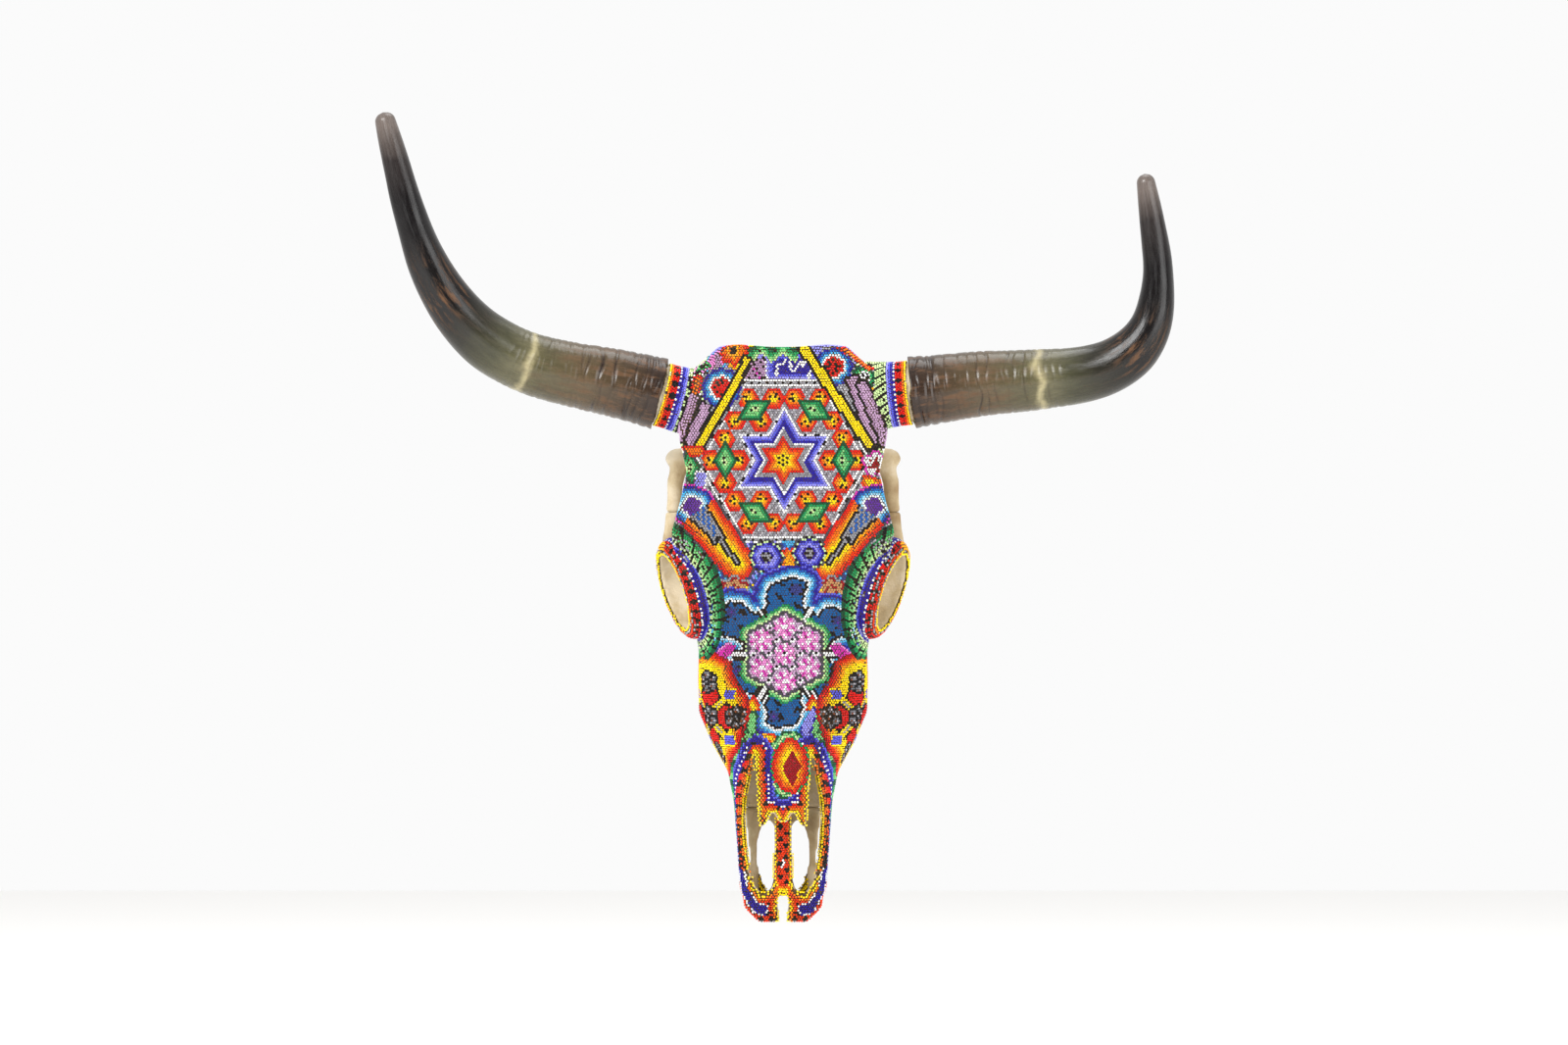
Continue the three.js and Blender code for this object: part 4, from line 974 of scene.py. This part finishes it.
crosses_on(u, -v, 443.5, 9, 2.6, (v < -436) & (np.abs(u) < 30) & (np.abs(u) > 5.5))
paint((v < -446.5) & (np.abs(u) < 22), "yellow")

# Trim of the eyes and the horn stumps, row by row from the edge: yellow, orange, red with little black
# stars, dark blue with white dashes, then pale green and white crossed by slanting black lines.
kind = np.array([b[0] for b in belonging])
edge_row = np.array([b[1] for b in belonging])
turn = np.array([b[2] for b in belonging])
paint((kind == "edge") & (edge_row == 0), "yellow")
paint((kind == "edge") & (edge_row == 1), "orange")
paint((kind == "edge") & (edge_row == 1) & (turn % 4 == 1), "black")


def trim(here, beads_round, edges, flank):
    """Colours the rows of one edge; the flank gives each further row its shade."""
    along = turn * beads_round / math.tau
    for number, shade in enumerate(edges):
        paint(here & (edge_row == number), shade)
    dash = edges.index("white")
    paint(here & (edge_row == dash) & (along % 2 < 1), "ink")
    heart = edges.index("scarlet") + (edges.count("scarlet") - 1) / 2
    aside = np.abs((along / 5 + 0.5) % 1 - 0.5) * 5
    off = np.abs(edge_row - heart)
    star = (aside < 0.6) & (off < 1.3) | (aside < 1.3) & (off < 0.6)
    paint(here & star, "black")
    beyond = edge_row - len(edges)
    slope = (along + 0.5 * beyond) % 4
    for number, shade in enumerate(flank):
        on = here & (beyond == number)
        paint(on, shade)
        paint(on & (number % 3 == 1) & (slope > 2) & (slope < 3.1) & (number < len(flank) - 3), "black")
        paint(on & (slope < 1.15), "black")


for side, sign in SIDES.items():
    at_eye = (kind == f"eye_{side}") & (v < -98) & (v > -224) & ~feathered
    trim(at_eye, 150, ["yellow", "orange", "vermilion", "scarlet", "scarlet", "scarlet", "white", "ink", "ink",
                       "periwinkle"],
         ["lime", "lime", "lime", "leaf", "leaf", "leaf", "green", "green", "forest", "forest"])
    brow = (kind == f"eye_{side}") & (edge_row < 8) & (v >= -98)
    trim(brow, 150, ["yellow", "orange", "vermilion", "scarlet", "scarlet", "scarlet", "white", "ink"], [])
    lateral = (kind == f"eye_{side}") & (x * sign > 98) & (edge_row < 6)
    paint(lateral & (edge_row > 1), "amber")
    paint(lateral & (edge_row < 2), "yellow")
    at_horn = (kind == f"horn_{side}") & (x * sign > 76) & ~barred
    trim(at_horn, 78, ["yellow", "orange", "scarlet", "scarlet", "scarlet", "white", "ink", "periwinkle", "lavender"],
         ["lime", "lime", "lime", "lime", "lime", "lime"])

# Each bead is a short ring of opaque glass, tumbled in hot sand until its edges are round, and fire
# polished: it gives a small sharp highlight, and its hole stays dark. It lies a little askew.
BEAD_OUTER = 1.07 * MM
BEAD_HOLE = 0.22 * MM
BEAD_BELLY = 1.62 * MM  # the widest part's height above the bone
BEAD_CROWN = 2.42 * MM
BEAD_SEGMENTS = 7
ASKEW = 0.13

template = bmesh.new()
section = [template.verts.new((r, 0, h)) for r, h in
           ((BEAD_OUTER, BEAD_BELLY), (0.62 * MM, BEAD_CROWN), (BEAD_HOLE, 1.95 * MM))]
edges = [template.edges.new((section[i], section[i - 1])) for i in range(3)]
bmesh.ops.spin(template, geom=section + edges, cent=(0, 0, 0), axis=(0, 0, 1), angle=math.tau, steps=BEAD_SEGMENTS,
               use_merge=True)
bmesh.ops.remove_doubles(template, verts=template.verts, dist=1e-7)
bmesh.ops.recalc_face_normals(template, faces=template.faces)
template.verts.ensure_lookup_table()
bead_points = np.array([v.co for v in template.verts])
bead_faces = np.array([[v.index for v in f.verts] for f in template.faces])
template.free()

glasses = []
for name, colour in GLASS.items():
    glass, tree, shader = new_material(f"seed_bead_glass_{name}")
    shader.inputs["Base Color"].default_value = tone(colour)
    shader.inputs["Roughness"].default_value = 0.22
    shader.inputs["IOR"].default_value = 1.52
    shader.inputs["Specular IOR Level"].default_value = 0.28
    glasses.append(glass)

BEAD_NODES = [name for name in nodes if name.startswith("beads_")]
panel_trees = []
for name in BEAD_NODES:
    cad = welded(name)
    panel_trees.append(BVHTree.FromBMesh(cad))
    cad.free()
panel_of = np.zeros(len(seats), dtype=int)
facing = np.empty((len(seats), 3))
for i, point in enumerate(seats):
    facing[i] = form_tree.find_nearest(point)[1]
    if belonging[i][0] == "edge":
        facing[i] = (math.copysign(EDGE_FACING, point.x), -1, 0)
    near_by = [tree.find_nearest(point, 12 * MM)[3] for tree in panel_trees]
    panel_of[i] = min(range(len(near_by)), key=lambda k: near_by[k] if near_by[k] is not None else 1e9)

dice = np.random.default_rng(7)
facing += dice.normal(0, ASKEW, facing.shape) * 0.6
facing /= np.linalg.norm(facing, axis=1)[:, None]
tangent = np.cross(facing, np.array([0.0, 0.0, 1.0]))
tangent[np.linalg.norm(tangent, axis=1) < 0.1] = (1, 0, 0)
tangent -= facing * (tangent * facing).sum(axis=1)[:, None]
tangent /= np.linalg.norm(tangent, axis=1)[:, None]
other = np.cross(facing, tangent)
swell = 1 + dice.normal(0, 0.025, len(seats))
for k, name in enumerate(BEAD_NODES):
    mine = np.nonzero(panel_of == k)[0]
    size = swell[mine, None, None]
    points = (np.array(seats)[mine, None, :]
              + bead_points[None, :, 0, None] * tangent[mine, None, :] * size
              + bead_points[None, :, 1, None] * other[mine, None, :] * size
              + bead_points[None, :, 2, None] * facing[mine, None, :])
    faces = bead_faces[None] + (np.arange(len(mine)) * len(bead_points))[:, None, None]
    mesh = bpy.data.meshes.new(f"seed_{name}")
    mesh.vertices.add(points.shape[0] * points.shape[1])
    mesh.vertices.foreach_set("co", points.ravel())
    count = faces.shape[0] * faces.shape[1]
    mesh.loops.add(count * 4)
    mesh.loops.foreach_set("vertex_index", faces.ravel())
    mesh.polygons.add(count)
    mesh.polygons.foreach_set("loop_start", np.arange(count) * 4)
    used = sorted(set(plan[mine]))
    for shade in used:
        mesh.materials.append(glasses[shade])
    slots = np.searchsorted(used, plan[mine])
    mesh.polygons.foreach_set("material_index", np.repeat(slots, len(bead_faces)))
    mesh.polygons.foreach_set("use_smooth", np.ones(count, dtype=bool))
    mesh.update(calc_edges=True)
    mesh.validate()
    beads = bpy.data.objects.new(f"seed_{name}", mesh)
    bpy.context.collection.objects.link(beads)
    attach(beads, "skull")
    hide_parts(name)
    print(name, len(mine))

# The horns: two hollow sheaths of black and olive cow horn, slipped over the bone cores. Toward the
# head they are ringed with yearly growth ridges and flake; further out they are polished.
HORN_SPINES = {
    "left": [(-107, -130, 0, 30.5), (-155, -132, 11.5, 28.2), (-204, -138, 20, 26), (-247, -147, 39, 24.6),
             (-275.5, -156, 69, 21), (-294.4, -163, 98.4, 18), (-312, -170, 148, 13.6), (-327.4, -175, 208, 10.3),
             (-332.2, -176, 225, 8.9), (-334, -176, 233.4, 7.6)],
    "right": [(107, -130, 0, 30.5), (155, -132, 6.5, 27.8), (200, -137, 10, 26), (238, -143, 12.5, 24.3),
              (274, -150, 19, 22.6), (297, -156, 34, 20.6), (311.5, -162, 60, 16.6), (315, -168, 100, 12.8),
              (307.5, -174, 147.6, 10.2), (303, -176, 173, 8), (301.8, -176, 182, 6.9)],
}
HORN_RINGS = 330
HORN_SEGMENTS = 52
HOLLOW = {"base": 25.4 * MM, "tip": 6.9 * MM, "length": 139 * MM}
RIM = 1.3 * MM  # how far the sheath starts beyond the stump's beads
RIDGED = 135 * MM  # how far along the growth ridges go
RIDGE = 2.1 * MM

horn, tree, shader = new_material("polished_cow_horn")
along = add_node(tree, "ShaderNodeAttribute", {"attribute_name": "along"}).outputs["Fac"]
grooved = add_node(tree, "ShaderNodeAttribute", {"attribute_name": "groove"}).outputs["Fac"]
grain = add_node(tree, "ShaderNodeAttribute", {"attribute_name": "grain"}).outputs["Vector"]
place = add_node(tree, "ShaderNodeTexCoord").outputs["Object"]
drift = add_node(tree, "ShaderNodeTexNoise", Vector=place, Scale=30, Detail=5)
shifted = add_node(tree, "ShaderNodeMath", {"operation": "MULTIPLY_ADD"}, _0=drift.outputs["Fac"], _1=0.08, _2=along)
HORN_ZONES = [(0.06, "#150e09"), (0.1, "#291c14"), (0.17, "#3b2e20"), (0.27, "#4b3f2c"), (0.35, "#47422e"),
              (0.372, "#4f4a33"), (0.385, "#978e6c"), (0.398, "#54503a"), (0.46, "#3a3928"), (0.53, "#232119"),
              (0.6, "#0a0706"), (0.84, "#0b0809"), (0.93, "#221d1c"), (1.0, "#5c534e")]
shade_of = add_node(tree, "ShaderNodeValToRGB", Fac=shifted.outputs["Value"])
ramp = shade_of.color_ramp
while len(ramp.elements) > 1:
    ramp.elements.remove(ramp.elements[-1])
ramp.elements[0].position, ramp.elements[0].color = HORN_ZONES[0][0], tone(HORN_ZONES[0][1])
for at, colour in HORN_ZONES[1:]:
    ramp.elements.new(at).color = tone(colour)
fibres = add_node(tree, "ShaderNodeTexNoise", Vector=grain, Scale=9, Detail=6, Roughness=0.65)
streaked = add_node(tree, "ShaderNodeMix", {"data_type": "RGBA", "blend_type": "OVERLAY"},
                    _0=0.55, _6=shade_of.outputs["Color"], _7=fibres.outputs["Fac"])
# Brown flakes where the outer skin is scuffed off, at the bend and toward the head.
flecks = add_node(tree, "ShaderNodeTexNoise", Vector=grain, Scale=5, Detail=7, Roughness=0.7)
SCUFFS = [(0.05, 0.75), (0.3, 0.3), (0.38, 0.0), (0.52, 0.1), (0.58, 0.8), (0.64, 0.45), (0.72, 0.0)]
where_scuffed = add_node(tree, "ShaderNodeValToRGB", Fac=along)
ramp = where_scuffed.color_ramp
while len(ramp.elements) > 1:
    ramp.elements.remove(ramp.elements[-1])
ramp.elements[0].position, ramp.elements[0].color = SCUFFS[0][0], [SCUFFS[0][1]] * 3 + [1]
for at, amount in SCUFFS[1:]:
    ramp.elements.new(at).color = [amount] * 3 + [1]
flake = add_node(tree, "ShaderNodeMapRange", Value=flecks.outputs["Fac"], _1=0.5, _2=0.62)
scuff = add_node(tree, "ShaderNodeMath", {"operation": "MULTIPLY"}, _0=flake.outputs["Result"],
                 _1=where_scuffed.outputs["Color"])
scuffed = add_node(tree, "ShaderNodeMix", {"data_type": "RGBA"}, _0=scuff.outputs["Value"], _6=streaked.outputs[2],
                   _7=tone("#5a3c22"))
# The grooves between the growth ridges are coloured a darker brown the deeper they are, broken up by the fibres.
groove_darkening = add_node(tree, "ShaderNodeMath", {"operation": "MULTIPLY"}, _0=grooved, _1=fibres.outputs["Fac"])
groove_darkening = add_node(tree, "ShaderNodeMapRange", Value=groove_darkening.outputs["Value"], _1=0.08, _2=0.34, _4=0.95)
ringed = add_node(tree, "ShaderNodeMix", {"data_type": "RGBA"}, _0=groove_darkening.outputs["Result"], _6=scuffed.outputs[2],
                  _7=tone("#1d110a"))
tree.links.new(ringed.outputs[2], shader.inputs["Base Color"])
gloss = add_node(tree, "ShaderNodeMapRange", Value=flecks.outputs["Fac"], _1=0.4, _2=0.65, _3=0.14, _4=0.42)
tree.links.new(gloss.outputs["Result"], shader.inputs["Roughness"])
bump = add_node(tree, "ShaderNodeBump", Height=fibres.outputs["Fac"], Strength=0.3, Distance=0.5 * MM)
tree.links.new(bump.outputs["Normal"], shader.inputs["Normal"])
shader.inputs["IOR"].default_value = 1.54
shader.inputs["Specular IOR Level"].default_value = 0.28


def evened(values, rounds):
    """The values with their corners rounded off, ends kept."""
    for _ in range(rounds):
        values[1:-1] = (values[:-2] + 2 * values[1:-1] + values[2:]) / 4
    return values


for side, sign in SIDES.items():
    spine = np.array(HORN_SPINES[side]) * MM
    run = np.concatenate([[0], np.cumsum(np.linalg.norm(np.diff(spine[:, :3], axis=0), axis=1))])
    start = HORN_START[side]
    base = STUMP_END[side] + HORN_AXIS[side] * RIM
    skipped = (base - start).dot(HORN_AXIS[side])
    length = run[-1]
    stations = skipped + (length - skipped) * (1 - (1 - np.linspace(0, 1, HORN_RINGS)) ** 1.0)
    middle = np.column_stack([np.interp(stations, run, spine[:, k]) for k in range(3)])
    if skipped < 0:
        early = stations < 0
        middle[early] = np.array(start) + np.outer(stations[early], np.array(HORN_AXIS[side]))
    middle = evened(middle, 420)
    girth = evened(np.interp(stations, run, spine[:, 3]), 60)
    tip = np.clip((length - stations) / (6.5 * MM), 0, 1)
    girth *= np.sqrt(1 - (1 - tip) ** 2) * 0.985 + 0.015
    ridge = np.zeros(HORN_RINGS)
    rings = []
    at = 5 * MM
    step = random.Random(11 if side == "left" else 5)
    while at < RIDGED:
        fade = 1 - at / RIDGED
        rings.append((at, step.uniform(0.8, 1.8) * MM, (0.25 + 0.75 * fade) * step.uniform(0.35, 1.0),
                      step.uniform(0, 50)))
        at += step.uniform(3.5, 8.5) * MM
    made = bmesh.new()
    level = made.verts.layers.float.new("along")
    groove = made.verts.layers.float.new("groove")
    fibre = made.verts.layers.float_vector.new("grain")
    turned = bmesh.ops.create_circle(made, segments=HORN_SEGMENTS, radius=0.001, cap_ends=False)
    loop = turned["verts"]
    edges = list(made.edges)
    # From the bottom of the hollow out to the rim, then along the outside to the tip.
    path = []
    hollow_at = np.linspace(HOLLOW["length"], 0, 24)
    for depth in hollow_at:
        part = depth / HOLLOW["length"]
        radius = HOLLOW["base"] + (HOLLOW["tip"] - HOLLOW["base"]) * part
        origin = STUMP_END[side] + HORN_AXIS[side] * depth
        if depth >= RIM:
            path.append((origin, HORN_AXIS[side], radius, None, 0.02))
    path.append((base, HORN_AXIS[side], HOLLOW["base"] * 0.98, None, 0.01))
    flow = np.gradient(middle, axis=0)
    for i in range(HORN_RINGS):
        path.append((Vector(middle[i]), Vector(flow[i]).normalized(), girth[i], stations[i] - skipped,
                     0.05 + 0.95 * (stations[i] - skipped) / (length - skipped)))
    for number, (origin, direction, radius, along_it, mark) in enumerate(path):
        if number:
            grown = bmesh.ops.extrude_edge_only(made, edges=edges)["geom"]
            fresh = [g for g in grown if isinstance(g, bmesh.types.BMVert)]
            edges = [g for g in grown if isinstance(g, bmesh.types.BMEdge)]
            twin = {}
            for v in fresh:
                for e in v.link_edges:
                    old = e.other_vert(v)
                    if old in order:
                        twin[order[old]] = v
            loop = [twin[k] for k in range(HORN_SEGMENTS)]
            edges = [e for e in edges if e.verts[0] in fresh and e.verts[1] in fresh]
        order = {v: k for k, v in enumerate(loop)}
        out = direction.cross(Vector((0, 1, 0))).normalized()
        up = out.cross(direction)
        for k, v in enumerate(loop):
            turn = math.tau * k / HORN_SEGMENTS
            way = out * math.cos(turn) + up * math.sin(turn)
            dent = 0
            if along_it is not None:
                round_it = Vector((math.cos(turn), math.sin(turn), 0))
                for at, width, depth, seed in rings:
                    if abs(along_it - at) < 7 * MM:
                        sway = noise.noise(round_it * 1.3 + Vector((0, 0, seed))) * 4 * MM
                        strength = 0.6 + 0.9 * noise.noise(round_it * 1.1 + Vector((0, 0, seed + 9)))
                        dent = max(dent, depth * max(strength, 0) * math.exp(-((along_it - at - sway) / width) ** 2))
                lump = noise.noise(round_it * 0.9 + Vector((0, 0, along_it * 25)))
                radius_here = radius + (0.7 * lump * MM) * min(1, radius / (12 * MM)) - dent * RIDGE
            else:
                radius_here = radius
            v.co = origin + way * radius_here
            v[groove] = dent
            v[fibre] = Vector((math.cos(turn), math.sin(turn), 3.2 * mark))
            if number >= len(hollow_at) - 2 and mark < 0.1:
                ragged = noise.noise(way * 3 + Vector((sign, 0, 0))) * 2.4 * MM * (1 - (mark - 0.01) / 0.1)
                v.co += direction * max(ragged, -0.8 * MM)
            v[level] = mark
        if number == 0:
            bottom = list(loop)
    bmesh.ops.contextual_create(made, geom=bottom)
    bmesh.ops.contextual_create(made, geom=loop)
    bmesh.ops.recalc_face_normals(made, faces=made.faces)
    sheath = shown(f"horn_{side}", made, horn)
    sheath.data.shade_smooth()
    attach(sheath, f"horn_{side}")
    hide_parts(f"horn_sheath_{side}")

# The cheek teeth: six above on each side, worn flat with sharp enamel folds across, and browned in
# streaks by grass and age.
TEETH = [f"{kind}_{place}" for kind in ("premolar", "molar") for place in (1, 2, 3, 4)]
TOOTH_CUT = 0.7 * MM
FOLD = 0.3 * MM
enamel, tree, shader = new_material("worn_stained_enamel")
place = add_node(tree, "ShaderNodeTexCoord").outputs["Object"]
streaks = add_node(tree, "ShaderNodeTexNoise",
                   Vector=add_node(tree, "ShaderNodeMapping", Vector=place, Scale=(1, 0.25, 1)).outputs["Vector"],
                   Scale=260, Detail=4)
tint = add_node(tree, "ShaderNodeValToRGB", Fac=streaks.outputs["Fac"])
tint.color_ramp.elements[0].position, tint.color_ramp.elements[0].color = 0.32, tone("#8a6c46")
tint.color_ramp.elements[1].position, tint.color_ramp.elements[1].color = 0.56, tone("#dccfae")
tree.links.new(tint.outputs["Color"], shader.inputs["Base Color"])
bump = add_node(tree, "ShaderNodeBump", Height=streaks.outputs["Fac"], Strength=0.4, Distance=0.4 * MM)
tree.links.new(bump.outputs["Normal"], shader.inputs["Normal"])
shader.inputs["Roughness"].default_value = 0.34
shader.inputs["IOR"].default_value = 1.62
for side in SIDES:
    for tooth in TEETH:
        name = f"{tooth}_{side}"
        if name not in nodes:
            continue
        crown = shown(f"tooth_{name}", welded(name))
        recut(crown, TOOTH_CUT)
        points = faired(crown.data, 6)
        low, high = points.min(axis=0), points.max(axis=0)
        reach = (high - low) / 2
        middle = (high + low) / 2
        t = (points - middle) / reach
        walls = eased(np.abs(t[:, 0]), 0.5, 0.9)
        points[:, 0] += np.sign(t[:, 0]) * walls * np.cos(t[:, 2] * math.pi * 1.5) * FOLD
        chewed = eased(t[:, 1], 0.7, 0.95)
        points[:, 1] -= chewed * (1 + np.cos(t[:, 2] * math.pi * 2) * np.cos(t[:, 0] * math.pi)) * FOLD
        put_points(crown.data, points)
        crown.data.materials.clear()
        crown.data.materials.append(enamel)
        crown.data.shade_smooth()
        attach(crown, "skull")
        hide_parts(name)

# The hanger: a keyhole plate of zinc-plated steel let into the back of the skull and held by two
# countersunk screws.
zinc, tree, shader = new_material("zinc_plated_steel")
place = add_node(tree, "ShaderNodeTexCoord").outputs["Object"]
spangle = add_node(tree, "ShaderNodeTexVoronoi", Vector=place, Scale=240)
brushed = add_node(tree, "ShaderNodeTexNoise",
                   Vector=add_node(tree, "ShaderNodeMapping", Vector=place, Scale=(0.05, 1, 1)).outputs["Vector"],
                   Scale=2600, Detail=2)
tint = add_node(tree, "ShaderNodeMix", {"data_type": "RGBA"}, _0=spangle.outputs["Distance"], _6=tone("#b4b6ba"),
                _7=tone("#a2a5aa"))
tree.links.new(tint.outputs[2], shader.inputs["Base Color"])
rough = add_node(tree, "ShaderNodeMapRange", Value=brushed.outputs["Fac"], _3=0.25, _4=0.45)
tree.links.new(rough.outputs["Result"], shader.inputs["Roughness"])
shader.inputs["Metallic"].default_value = 1.0
for name in ("hanger_plate", "hanger_screw_left", "hanger_screw_right"):
    for holder in nodes[name].material_slots:
        holder.material = zinc

bpy.data.objects.remove(form)
